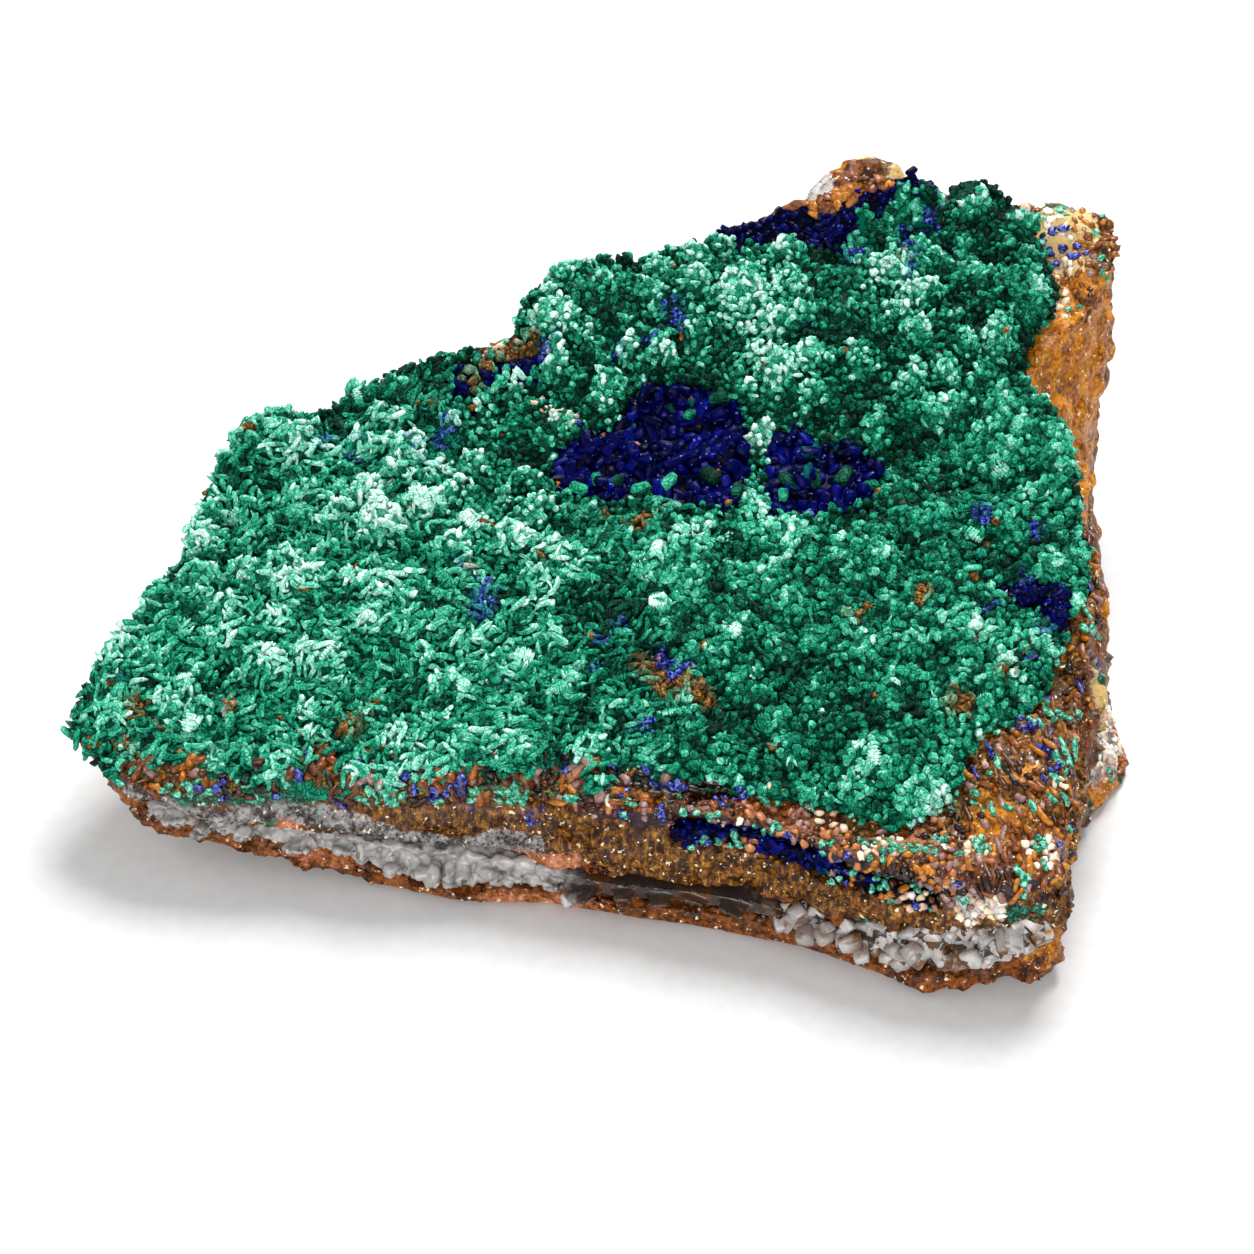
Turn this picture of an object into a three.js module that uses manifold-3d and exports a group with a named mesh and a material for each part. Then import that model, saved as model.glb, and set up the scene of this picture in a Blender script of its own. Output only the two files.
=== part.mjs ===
// Azurite and malachite on a layered matrix: a hand-sized mineral specimen that lies on its flat base.
//
// The matrix is a wedge of banded rock, thin at the front left and thick at the back right. From the
// base up, its front shows rusty limonite, a seam of milky quartz, fibrous goethite and a dark lip.
// Its dipping top carries a malachite crust of rounded lumps. Azurite crystals stand in windows of the
// crust, along the dark lip and on the bare knobs at the back.
//
// Millimetres, +Z up, +Y from the long front edge to the back, +X to the right. The origin is at the
// middle of the bounding box, on the flat base.
import * as THREE from "three";
import { mergeVertices } from "three/addons/utils/BufferGeometryUtils.js";
import { ImprovedNoise } from "three/addons/math/ImprovedNoise.js";
import Module from "manifold-3d";

const wasm = await Module();
wasm.setup();

// Driving dimensions
const FRONT_HEIGHT = 13.4; // of the dipping top over the point x = 0, y = 0
const RISE_BACK = 0.268; // of the top for each millimetre of depth, a dip of 15 degrees
const RISE_RIGHT = 0.071; // of the top for each millimetre to the right, 4 degrees
const CRUST_DEPTH = 3.6; // from the malachite's mean surface down to the matrix
const GRAIN_HEIGHT = 0.5; // that the finest grains stand over the crust
const EDGE_DROP = 0.9; // of the crust's top at its edge
const BARE_RISE = 3.2; // of the matrix beside the crust over the matrix under it
const GAP = 0.3; // between minerals that touch
const LARGE_LUMPS = { cell: 8.2, height: 3.6 }; // of malachite, on the upper half
const SMALL_LUMPS = { cell: 5.8, height: 1.8 }; // of malachite, on the lower half
const CRUST_CELL = 3.2; // grid spacing of the crust's top
const ROCK_CELL = 2 * CRUST_CELL; // grid spacing of the matrix's top
const TOP_ROUGHNESS = 0.7; // how far the matrix's top strays from an even surface
const WALL_ROUGHNESS = 1.1; // the same for the small unevenness of the broken walls
const LOW_FACETS = 0.4; // depth of the broad facets in the low front wall
const TALL_FACETS = 1.6; // how much deeper they are in the tall back walls
const STANCE_INSET = 1.2; // from the wall's foot in to the flat base
const UNDERCUT = 2.6; // how much further in the base starts for each millimetre that the foot is lifted
const FOOT_LIFT = 0.35; // least height of the wall's lowest ring over the base plane
const RING_LIFT = 0.6; // least height of the rings above it
const SKY = 90; // above everything
const PAD_THICKNESS = 1.7; // of the azurite under its crystals
const CHISEL_END = 0.55; // width of a crystal's end, as a share of its root's

// The block of space that holds the specimen.
const FIELD = { left: -72, right: 72, front: -8, back: 116, bottom: -12 };

// The rim of the top and the foot of the wall below it, anticlockwise from the left tip:
// rim x, rim y, foot x, foot y, height of the foot above the base plane.
const STATIONS = [
  [-65.0, 28.5, -60.0, 29.0, 6.0],
  [-60.2, 23.3, -59.0, 24.4, 4.8],
  [-55.0, 20.2, -54.0, 21.8, 3.4],
  [-45.0, 19.0, -44.5, 20.0, 2.2],
  [-35.0, 18.3, -35.0, 18.0, 1.2],
  [-26.0, 17.3, -26.5, 15.6, 0.7],
  [-17.0, 18.0, -17.0, 13.4, 0.4],
  [-8.0, 16.0, -8.0, 12.6, 0.3],
  [2.0, 13.0, 1.0, 11.2, 0.2],
  [12.0, 11.2, 12.0, 8.8, 0.1],
  [22.0, 7.2, 22.0, 5.8, 0.0],
  [30.0, 3.2, 30.0, 1.4, 0.0],
  [38.0, 1.3, 37.0, -0.4, 0.0],
  [45.0, 0.8, 43.5, 1.6, 0.8],
  [48.5, 2.0, 47.2, 1.6, 0.0],
  [49.5, 8.0, 49.4, 11.0, 0.0],
  [51.2, 18.0, 53.0, 23.5, 0.0],
  [53.6, 28.0, 61.0, 33.5, 0.0],
  [55.4, 36.0, 62.2, 40.0, 0.0],
  [57.0, 44.0, 61.2, 50.0, 0.0],
  [55.5, 52.5, 61.0, 60.0, 0.0],
  [53.8, 62.0, 62.6, 68.0, 0.0],
  [51.5, 72.5, 63.6, 77.0, 0.0],
  [57.5, 81.0, 64.0, 85.0, 0.0],
  [63.4, 88.5, 63.8, 92.0, 0.0],
  [62.0, 96.5, 60.0, 98.5, 0.0],
  [54.0, 99.6, 52.5, 100.0, 1.0],
  [46.0, 103.4, 45.0, 102.0, 1.5],
  [39.5, 104.4, 38.5, 103.4, 2.0],
  [32.5, 107.0, 32.0, 104.4, 2.0],
  [25.0, 104.0, 24.0, 100.8, 2.0],
  [13.0, 98.5, 12.0, 95.2, 1.5],
  [1.0, 94.4, 1.0, 91.2, 1.0],
  [-9.5, 91.8, -8.0, 87.8, 1.0],
  [-14.0, 86.0, -12.0, 82.0, 0.5],
  [-23.0, 80.6, -20.0, 77.0, 1.0],
  [-33.0, 76.2, -30.0, 72.5, 1.5],
  [-38.5, 71.8, -35.0, 69.0, 2.0],
  [-46.5, 70.5, -42.0, 66.5, 2.5],
  [-51.3, 62.0, -47.0, 59.5, 3.0],
  [-53.9, 52.0, -50.0, 51.0, 3.5],
  [-58.2, 44.5, -54.5, 43.5, 4.0],
  [-62.8, 37.2, -58.5, 36.5, 5.0],
];
const STEPS = 70; // columns round the wall

// Where the wall isn't straight from rim to foot: station, half-width in stations, exponent. Above 1
// the wall is undercut above a spreading foot, and below 1 it bulges out right under the rim.
const WALL_FLARES = [
  { station: 18.0, reach: 2.4, exponent: 3.4 },
  { station: 22.4, reach: 1.6, exponent: 0.45 },
];

// How far up the wall each ring of it lies, from 0 at the foot to 1 at the rim, and how far the band
// there stands proud of a straight wall, in millimetres.
const WALL_RINGS = [
  [0.0, 0.0],
  [0.16, 0.9],
  [0.32, -0.4],
  [0.5, 0.2],
  [0.68, 1.2],
  [0.86, -0.3],
  [1.0, 0.0],
];

// Broad swells and hollows of the top: x, y, half-width, half-depth, height.
const SWELLS = [
  [4, 62, 24, 8, -2.4],
  [-33, 66, 9, 8, -2.2],
  [-44.5, 65, 7, 6.5, 3.4],
  [-5, 85, 9, 7, 2.6],
  [9, 84, 9, 8, 1.8],
  [33, 80, 11, 9, 2.2],
  [39, 59, 8, 5, -2.6],
  [51, 60, 5, 6, 1.6],
  [49, 74, 5, 5, -1.4],
  [46, 98, 9, 7, 0.9],
  [-40, 38, 18, 14, 1.2],
  [-16, 29, 13, 8, -1.0],
  [22, 34, 16, 12, 0.8],
];

// Bare knobs of matrix that stand up beside the crust: x, y, half-width, half-depth, height.
const KNOBS = [
  [32, 105, 7, 5, 5.6],
  [44, 103, 6, 3, 1.6],
  [58, 93.5, 7, 7, 1.8],
  [57, 47, 4, 5, 1.6],
  [47, 14, 8, 9, 0.8],
  [-17, 84, 6, 4, 1.2],
];

// The edge of the malachite crust, anticlockwise from the left tip. It hangs a little over the rim at
// the front and left, and leaves the front right corner, the right edge and the back knobs bare.
const CRUST_EDGE = [
  [-65.4, 28.5], [-60.6, 22.9], [-55, 19.7], [-45, 18.5], [-35, 17.8], [-26, 16.8], [-17, 17.5],
  [-8, 15.6], [0, 14.6], [8, 15.8], [16, 14.4], [24, 13], [31, 10.8], [35, 12.5], [38.5, 17],
  [41, 22.5], [46, 23.5], [50, 31], [53, 37.5], [55, 43], [54.5, 50], [54.6, 58], [53.6, 64],
  [51, 69], [50.2, 75.5], [53, 80.5], [55.4, 85], [53.8, 91], [54.6, 97], [51, 100.6],
  [46.2, 104], [42.8, 102.6], [42.2, 98.4], [36, 96.6], [30.5, 93.2], [22, 94.4], [12.6, 96.4],
  [1, 94.8], [-9.8, 92.2], [-13.6, 86.4], [-14.4, 81.6], [-19, 81.2], [-24, 80.6], [-33, 76.8],
  [-39, 72.3], [-46.8, 71], [-51.4, 61.8], [-54, 52], [-58.2, 44.4], [-62.8, 37],
];

// Windows in the crust that azurite fills, as closed curves through these points, and how many
// crystals stand in each.
const AZURITE_WINDOWS = {
  azurite_centre_left: {
    crystals: 22,
    edge: [
      [-9.5, 59], [-3, 57], [3, 57.5], [9, 54.5], [14.8, 55.5], [15.4, 63],
      [15, 70], [9, 74], [2, 74], [-1.5, 69], [-8.5, 66.5],
    ],
  },
  azurite_centre_right: {
    crystals: 14,
    edge: [
      [16.8, 54], [20, 51.5], [25, 52], [30, 54], [32.2, 58.5], [30, 62],
      [25, 64.5], [18, 66], [17.2, 61],
    ],
  },
  azurite_back: {
    crystals: 15,
    edge: [
      [12.5, 95.6], [20, 94.2], [28, 93.5], [32, 92.5], [35, 96], [41.5, 97.5],
      [41.5, 101.5], [34, 101], [26, 100], [18, 99], [12.5, 97.8],
    ],
  },
  azurite_left: {
    crystals: 7,
    edge: [[-22, 71], [-18.5, 71], [-16, 74.5], [-10, 76], [-10.5, 79], [-16, 79.2], [-23, 78.4]],
  },
  azurite_right: {
    crystals: 6,
    edge: [[43, 39.5], [48.5, 36.5], [51, 33.5], [52.5, 36.5], [52, 40.5], [48, 41], [43.5, 41.5]],
  },
};

// The quartz seam along the front. Its table holds the station, the share of the wall's height and the
// thickness of the seam.
const QUARTZ_SEAM = {
  table: [
    [1.7, 0.56, 2.0],
    [3.0, 0.5, 2.4],
    [4.2, 0.42, 3.0],
    [4.9, 0.34, 4.6],
    [5.7, 0.32, 5.0],
    [6.5, 0.34, 3.6],
    [7.4, 0.28, 2.2],
    [8.6, 0.28, 1.8],
    [9.6, 0.28, 1.8],
    [10.5, 0.28, 3.0],
    [11.2, 0.34, 5.4],
    [12.1, 0.42, 6.6],
    [12.9, 0.44, 5.6],
    [13.6, 0.5, 3.6],
  ],
  spacing: 4.8,
  depth: 3.0,
  proud: 1.8,
  wide: 4.2,
  lean: 0.16,
  seed: 4217,
};

// The azurite along the dark lip, likewise.
const AZURITE_LIP = {
  table: [
    [8.3, 0.84, 1.8],
    [9.3, 0.82, 2.0],
    [10.2, 0.8, 2.2],
    [11.0, 0.8, 2.0],
    [11.6, 0.78, 1.6],
  ],
  spacing: 3.0,
  depth: 2.0,
  proud: 1.4,
  wide: 2.6,
  lean: 0.2,
  seed: 977,
};

const COLOURS = {
  matrix: 0x8a5a2b,
  malachite: 0x2c8a66,
  azurite: 0x141c86,
  quartz: 0xb9b4b4,
};

const noise = new ImprovedNoise();

// Small tools

function smoothStep(low, high, value) {
  return THREE.MathUtils.smoothstep(value, low, high);
}

// A repeatable stream of numbers from 0 to 1.
function randomStream(seed) {
  let state = seed;
  return () => {
    state = (state * 1664525 + 1013904223) % 4294967296;
    return state / 4294967296;
  };
}

function sumOfHills(hills, x, y) {
  return hills.reduce((sum, [hillX, hillY, wide, deep, height]) => {
    const across = (x - hillX) / wide;
    const along = (y - hillY) / deep;
    return sum + height * Math.exp(-across * across - along * along);
  }, 0);
}

function closedCurve(points) {
  return new THREE.CatmullRomCurve3(points.map((p) => new THREE.Vector3(...p)), true, "catmullrom", 0.5);
}

function solidOf(geometry) {
  const bare = new THREE.BufferGeometry();
  const source = geometry.index ? geometry.toNonIndexed() : geometry;
  bare.setAttribute("position", source.getAttribute("position").clone());
  const merged = mergeVertices(bare, 1e-4);
  const corners = [];
  for (let i = 0; i < merged.index.count; i += 3) {
    const [a, b, c] = [0, 1, 2].map((k) => merged.index.getX(i + k));
    if (a !== b && b !== c && c !== a) corners.push(a, b, c);
  }
  const vertProperties = new Float32Array(merged.attributes.position.array);
  return new wasm.Manifold(new wasm.Mesh({ numProp: 3, vertProperties, triVerts: new Uint32Array(corners) }));
}

function geometryOf(solid) {
  const mesh = solid.getMesh();
  const positions = new Float32Array(mesh.numVert * 3);
  for (let i = 0; i < mesh.numVert; i++) {
    positions.set(mesh.vertProperties.subarray(i * mesh.numProp, i * mesh.numProp + 3), 3 * i);
  }
  const geometry = new THREE.BufferGeometry();
  geometry.setAttribute("position", new THREE.BufferAttribute(positions, 3));
  geometry.setIndex(new THREE.BufferAttribute(new Uint32Array(mesh.triVerts), 1));
  return geometry;
}

function meshGeometry(positions, corners) {
  const geometry = new THREE.BufferGeometry();
  geometry.setAttribute("position", new THREE.Float32BufferAttribute(positions.flat(), 3));
  geometry.setIndex(corners);
  return geometry;
}

function largestBody(solid) {
  return solid.decompose().sort((a, b) => b.volume() - a.volume())[0];
}

// An upright prism on the outline, from well under the base to above everything.
function prism(outline) {
  const shape = new THREE.Shape(outline.map(([x, y]) => new THREE.Vector2(x, y)));
  const geometry = new THREE.ExtrudeGeometry(shape, { depth: SKY - FIELD.bottom, bevelEnabled: false });
  return solidOf(geometry.translate(0, 0, FIELD.bottom));
}

function insideOutline([x, y], outline) {
  return outline.reduce((inside, [x1, y1], i) => {
    const [x2, y2] = outline[(i + 1) % outline.length];
    return y1 > y !== y2 > y && x < ((x2 - x1) * (y - y1)) / (y2 - y1) + x1 ? !inside : inside;
  }, false);
}

// A closed curve through the points, which run anticlockwise, moved outward by grow.
function curveOutline(points, count, grow = 0) {
  const ring = closedCurve(points.map(([x, y]) => [x, y, 0])).getPoints(count).slice(0, count);
  return ring.map((p, i) => {
    const along = ring[(i + 1) % count].clone().sub(ring[(i + count - 1) % count]).normalize();
    return [p.x + grow * along.y, p.y - grow * along.x];
  });
}

// The dipping top

const rimCurve = closedCurve(STATIONS.map(([x, y]) => [x, y, 0]));
const footCurve = closedCurve(STATIONS.map(([, , x, y, z]) => [x, y, z]));

function meanTop(x, y) {
  return FRONT_HEIGHT + RISE_BACK * y + RISE_RIGHT * x + sumOfHills(SWELLS, x, y);
}

// How far inside the crust's edge a point lies, negative outside it.
const crustRing = curveOutline(CRUST_EDGE, 3 * CRUST_EDGE.length);
function crustInset(x, y) {
  const distance = Math.min(...crustRing.map(([edgeX, edgeY]) => Math.hypot(x - edgeX, y - edgeY)));
  return insideOutline([x, y], crustRing) ? distance : -distance;
}

// The matrix lies one crust's depth down under the malachite and comes up level with it outside.
function rockTop(x, y) {
  const bare = smoothStep(0.5, 5, -crustInset(x, y));
  const rough = TOP_ROUGHNESS * noise.noise(x / 7, y / 7, 3.5);
  return meanTop(x, y) - CRUST_DEPTH + BARE_RISE * bare + sumOfHills(KNOBS, x, y) + rough;
}

// Rounded lumps of malachite, one in each cell of a jittered grid.
function lumpField(x, y, { cell, height }) {
  const column = Math.floor(x / cell);
  const row = Math.floor(y / cell);
  let best = 0;
  for (let i = column - 1; i <= column + 1; i++) {
    for (let j = row - 1; j <= row + 1; j++) {
      const random = randomStream(7919 * (i + 64) + 104729 * (j + 64));
      random();
      const centreX = (i + 0.2 + 0.6 * random()) * cell;
      const centreY = (j + 0.2 + 0.6 * random()) * cell;
      const radius = cell * (0.55 + 0.25 * random());
      const distance = Math.hypot(x - centreX, y - centreY) / radius;
      if (distance < 1) best = Math.max(best, Math.sqrt(1 - distance * distance));
    }
  }
  return best * height;
}

// Their height over their own mean level.
function lumps(x, y) {
  const upper = smoothStep(50, 66, y - 0.25 * x);
  const small = lumpField(x, y, SMALL_LUMPS) - 0.5 * SMALL_LUMPS.height;
  const large = lumpField(x, y, LARGE_LUMPS) - 0.5 * LARGE_LUMPS.height;
  return THREE.MathUtils.lerp(small, large, upper);
}

function crustTop(x, y) {
  const edge = 1 - smoothStep(0, 4, crustInset(x, y));
  return meanTop(x, y) - GRAIN_HEIGHT + lumps(x, y) * (1 - 0.5 * edge) - EDGE_DROP * edge;
}

// Everything below a height field, as a block down to well under the base.
function below(height, cell) {
  const columns = Math.round((FIELD.right - FIELD.left) / cell);
  const rows = Math.round((FIELD.back - FIELD.front) / cell);
  const points = [];
  for (let j = 0; j <= rows; j++) {
    for (let i = 0; i <= columns; i++) {
      const x = FIELD.left + i * cell;
      const y = FIELD.front + j * cell;
      points.push([x, y, height(x, y)]);
    }
  }
  const at = (i, j) => j * (columns + 1) + i;
  const corners = [];
  for (let j = 0; j < rows; j++) {
    for (let i = 0; i < columns; i++) {
      const [a, b, c, d] = [at(i, j), at(i + 1, j), at(i + 1, j + 1), at(i, j + 1)];
      if ((i + j) % 2) corners.push(a, b, c, a, c, d);
      else corners.push(a, b, d, b, c, d);
    }
  }
  const border = [];
  for (let i = 0; i < columns; i++) border.push(at(i, 0));
  for (let j = 0; j < rows; j++) border.push(at(columns, j));
  for (let i = columns; i > 0; i--) border.push(at(i, rows));
  for (let j = rows; j > 0; j--) border.push(at(0, j));
  const first = points.length;
  border.forEach((k) => points.push([points[k][0], points[k][1], FIELD.bottom]));
  const middle = points.length;
  points.push([0, 50, FIELD.bottom]);
  border.forEach((k, n) => {
    const next = (n + 1) % border.length;
    corners.push(first + n, first + next, border[next], first + n, border[next], k);
    corners.push(middle, first + next, first + n);
  });
  return solidOf(meshGeometry(points, corners));
}

// The wall of the matrix

// A point of the wall: station from 0 to the number of stations, share from 0 at the foot to 1 at the
// rim, and how far it stands out of the straight wall.
function wallPoint(station, share, proud) {
  const t = (station / STATIONS.length) % 1;
  const rim = rimCurve.getPoint(t);
  const foot = footCurve.getPoint(t);
  const tangent = rimCurve.getTangent(t);
  const exponent = WALL_FLARES.reduce((value, flare) => {
    const away = (station - flare.station) / flare.reach;
    return THREE.MathUtils.lerp(value, flare.exponent, Math.exp(-away * away));
  }, 1);
  const spread = (1 - share) ** exponent;
  const x = THREE.MathUtils.lerp(rim.x, foot.x, spread) + proud * tangent.y;
  const y = THREE.MathUtils.lerp(rim.y, foot.y, spread) - proud * tangent.x;
  return new THREE.Vector3(x, y, THREE.MathUtils.lerp(foot.z, rockTop(rim.x, rim.y), share));
}

// How far the wall strays from straight: bands at the front, broken facets on the taller sides.
function wallRelief(station, share) {
  const rest = wallPoint(station, share, 0);
  const tall = smoothStep(18, 34, rest.y);
  const grain = noise.noise(rest.x / 9, rest.y / 9, rest.z / 5);
  const coarse = noise.noise(rest.x / 19 + 5, rest.y / 19, rest.z / 11);
  const fade = Math.sin(Math.PI * Math.min(1, 0.15 + share)) * 0.5 + 0.5;
  return fade * (WALL_ROUGHNESS * grain + (LOW_FACETS + TALL_FACETS * tall) * coarse);
}

function bandProfile(share) {
  const above = WALL_RINGS.findIndex(([level]) => level >= share);
  if (above <= 0) return WALL_RINGS[0][1];
  const [lowShare, low] = WALL_RINGS[above - 1];
  const [highShare, high] = WALL_RINGS[above];
  return THREE.MathUtils.lerp(low, high, (share - lowShare) / (highShare - lowShare));
}

function wallSurface(station, share) {
  const behind = smoothStep(16, 24, Math.abs(station - 7));
  return wallPoint(station, share, bandProfile(share) * (1 - 0.6 * behind) + wallRelief(station, share));
}

function stationAt(step) {
  return (step * STATIONS.length) / STEPS;
}

function makeWall() {
  const rings = [];
  const stance = [];
  for (let i = 0; i < STEPS; i++) {
    const foot = wallSurface(stationAt(i), 0);
    const inward = new THREE.Vector3(4 - foot.x, 55 - foot.y, 0).normalize();
    const step = STANCE_INSET + UNDERCUT * Math.max(0, foot.z);
    stance.push([foot.x + inward.x * step, foot.y + inward.y * step, 0]);
  }
  rings.push(stance);
  for (const [share] of WALL_RINGS) {
    const ring = [];
    for (let i = 0; i < STEPS; i++) {
      const p = wallSurface(stationAt(i), share);
      ring.push([p.x, p.y, Math.max(p.z, share ? RING_LIFT : FOOT_LIFT)]);
    }
    rings.push(ring);
  }
  rings.push(rings.at(-1).map(([x, y]) => [x, y, SKY]));
  const corners = [];
  for (let r = 0; r + 1 < rings.length; r++) {
    for (let i = 0; i < STEPS; i++) {
      const [a, b] = [r * STEPS + i, r * STEPS + ((i + 1) % STEPS)];
      const [c, d] = [b + STEPS, a + STEPS];
      if ((i + r) % 2) corners.push(a, b, c, a, c, d);
      else corners.push(a, b, d, b, c, d);
    }
  }
  const capOf = (ring, start, flip) => {
    const outline = ring.map(([x, y]) => new THREE.Vector2(x, y));
    THREE.ShapeUtils.triangulateShape(outline, []).forEach(([a, b, c]) => {
      corners.push(start + a, start + (flip ? c : b), start + (flip ? b : c));
    });
  };
  capOf(rings[0], 0, true);
  capOf(rings.at(-1), (rings.length - 1) * STEPS, false);
  return solidOf(meshGeometry(rings.flat(), corners));
}

// Crystals

// A tabular crystal: a flat-sided bar from its root along its leaning axis, narrowed to a chisel end.
function chisel({ root, wide, thick, length, lean, heading, spin }) {
  const base = [[-1, -1], [1, -1], [1, 1], [-1, 1]];
  const foot = base.map(([sx, sy]) => [(sx * wide) / 2, (sy * thick) / 2, 0]);
  const tip = base.map(([sx, sy]) => [(sx * wide * CHISEL_END) / 2, (sy * thick * CHISEL_END) / 3, length]);
  const corners = [
    0, 2, 1, 0, 3, 2, 4, 5, 6, 4, 6, 7, 0, 1, 5, 0, 5, 4,
    1, 2, 6, 1, 6, 5, 2, 3, 7, 2, 7, 6, 3, 0, 4, 3, 4, 7,
  ];
  const geometry = meshGeometry([...foot, ...tip], corners);
  geometry.rotateZ(spin);
  geometry.rotateY(lean);
  geometry.rotateZ(heading);
  geometry.translate(root.x, root.y, root.z);
  return solidOf(geometry);
}

// Where the crystals of one window stand: spread out evenly at random within its outline.
function crystalRoots(outline, count, random) {
  const xs = outline.map((p) => p[0]);
  const ys = outline.map((p) => p[1]);
  const roots = [];
  for (let tries = 0; roots.length < count && tries < 4000; tries++) {
    const x = THREE.MathUtils.lerp(Math.min(...xs), Math.max(...xs), random());
    const y = THREE.MathUtils.lerp(Math.min(...ys), Math.max(...ys), random());
    const spacing = 3.4 * (1 - tries / 5000);
    const clear = roots.every((r) => Math.hypot(r.x - x, r.y - y) > spacing);
    if (clear && insideOutline([x, y], outline)) roots.push(new THREE.Vector2(x, y));
  }
  return roots;
}

function windowPrism(edge, grow) {
  return prism(curveOutline(edge, 2 * edge.length, grow));
}

// One azurite cluster: a thin pad that follows the matrix, with crystals standing and leaning on it,
// all within its window of the crust.
function azuriteCluster({ edge, crystals }, seed, rockRaised, pad) {
  const random = randomStream(seed);
  const roots = crystalRoots(curveOutline(edge, 2 * edge.length, -0.9), crystals, random);
  const bars = roots.map(({ x, y }) => chisel({
    root: new THREE.Vector3(x, y, rockTop(x, y) - 2 * GAP),
    wide: 2.4 + 1.2 * random(),
    thick: 1.6 + 0.8 * random(),
    length: 4.5 + 1.4 * random(),
    lean: 0.1 + 0.7 * random(),
    heading: 2 * Math.PI * random(),
    spin: Math.PI * random(),
  }));
  const whole = wasm.Manifold.union([pad, ...bars]);
  return largestBody(whole.intersect(windowPrism(edge, -GAP)).subtract(rockRaised));
}

// The stations of a seam, evened out to steps of about the same length along the wall.
function seamSteps(table, spacing) {
  const steps = [];
  for (let i = 0; i + 1 < table.length; i++) {
    const [from, to] = [table[i], table[i + 1]];
    const length = wallSurface(from[0], from[1]).distanceTo(wallSurface(to[0], to[1]));
    const count = Math.max(1, Math.round(length / spacing));
    for (let k = 0; k < count; k++) {
      steps.push(from.map((value, n) => THREE.MathUtils.lerp(value, to[n], k / count)));
    }
  }
  steps.push(table.at(-1));
  return steps;
}

function outwardAt(station) {
  const tangent = rimCurve.getTangent(station / STATIONS.length);
  return new THREE.Vector3(tangent.y, -tangent.x, 0);
}

// A bar that follows a seam: it reaches into the wall and out of it by the given depths.
function seamBar(steps, inward, outward, grow) {
  const points = [];
  steps.forEach(([station, share, thickness]) => {
    const middle = wallPoint(station, share, 0);
    const direction = outwardAt(station);
    const half = thickness / 2 + grow;
    for (const [depth, side] of [[-inward, -1], [outward, -1], [outward, 1], [-inward, 1]]) {
      const p = middle.clone().addScaledVector(direction, depth);
      points.push([p.x, p.y, p.z + side * half]);
    }
  });
  const corners = [0, 1, 2, 0, 2, 3];
  for (let i = 0; i + 1 < steps.length; i++) {
    for (let k = 0; k < 4; k++) {
      const [a, b] = [4 * i + k, 4 * i + ((k + 1) % 4)];
      corners.push(a, b + 4, b, a, a + 4, b + 4);
    }
  }
  const last = 4 * (steps.length - 1);
  corners.push(last, last + 2, last + 1, last, last + 3, last + 2);
  return solidOf(meshGeometry(points, corners));
}

// A seam of crystals that point out of the wall, and the groove that it fills.
function makeSeam({ table, spacing, depth, proud, wide, lean, seed }) {
  const random = randomStream(seed);
  const steps = seamSteps(table, spacing);
  const bars = steps.slice(1, -1).map(([station, share, thickness]) => {
    const direction = outwardAt(station);
    const root = wallPoint(station, share, 0).addScaledVector(direction, -depth + GAP);
    return chisel({
      root,
      wide: wide * (0.8 + 0.4 * random()),
      thick: thickness * (0.55 + 0.25 * random()),
      length: depth + proud * (0.5 + random()),
      lean: Math.PI / 2 + lean * (random() - 0.5),
      heading: Math.atan2(direction.y, direction.x) + 2 * lean * (random() - 0.5),
      spin: Math.PI / 2 + 0.6 * (random() - 0.5),
    });
  });
  const core = seamBar(steps, depth - GAP, 0.3, 0);
  const room = seamBar(steps, depth - GAP - 0.2, 9, -0.15);
  return {
    solid: largestBody(core.add(wasm.Manifold.union(bars).intersect(room))),
    groove: seamBar(steps, depth, 9, GAP),
  };
}

// Assembly

const rock = below(rockTop, ROCK_CELL);
const rockRaised = rock.translate([0, 0, GAP]);
const pad = rock.translate([0, 0, GAP + PAD_THICKNESS]);
const quartz = makeSeam(QUARTZ_SEAM);
const lip = makeSeam(AZURITE_LIP);
const matrix = largestBody(makeWall().intersect(rock).subtract(quartz.groove).subtract(lip.groove));

let crust = below(crustTop, CRUST_CELL).intersect(prism(crustRing)).subtract(rockRaised);
const clusters = Object.entries(AZURITE_WINDOWS).map(([name, window], i) => {
  crust = crust.subtract(windowPrism(window.edge, 0));
  return [name, azuriteCluster(window, 311 + 57 * i, rockRaised, pad)];
});
crust = largestBody(crust);

function mineralMesh(name, solid, colour, roughness) {
  const material = new THREE.MeshStandardMaterial({ color: colour, roughness, metalness: 0, flatShading: true });
  const mesh = new THREE.Mesh(geometryOf(solid), material);
  mesh.name = name;
  return mesh;
}

const specimen = new THREE.Group();
specimen.add(mineralMesh("matrix", matrix, COLOURS.matrix, 0.75));
specimen.add(mineralMesh("malachite_crust", crust, COLOURS.malachite, 0.5));
specimen.add(mineralMesh("quartz_seam", quartz.solid, COLOURS.quartz, 0.3));
specimen.add(mineralMesh("azurite_lip", lip.solid, COLOURS.azurite, 0.3));
for (const [name, solid] of clusters) specimen.add(mineralMesh(name, solid, COLOURS.azurite, 0.3));

// The origin goes to the middle of the bounding box, on the base.
const box = new THREE.Box3().setFromObject(specimen);
const middle = box.getCenter(new THREE.Vector3());
specimen.position.set(-middle.x, -middle.y, -box.min.z);

export default specimen;
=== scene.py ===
"""Azurite and malachite specimen: a granular green crust with blue crystals on a wedge of banded ore.

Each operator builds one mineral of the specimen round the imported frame, as closed meshes. Lengths are in
millimetres until a mesh is made, and in metres after that.
"""
import functools
import itertools
import math

import bpy
import numpy as np
from bpy.props import FloatProperty, FloatVectorProperty, PointerProperty
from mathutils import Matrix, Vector
from mathutils.bvhtree import BVHTree


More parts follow.
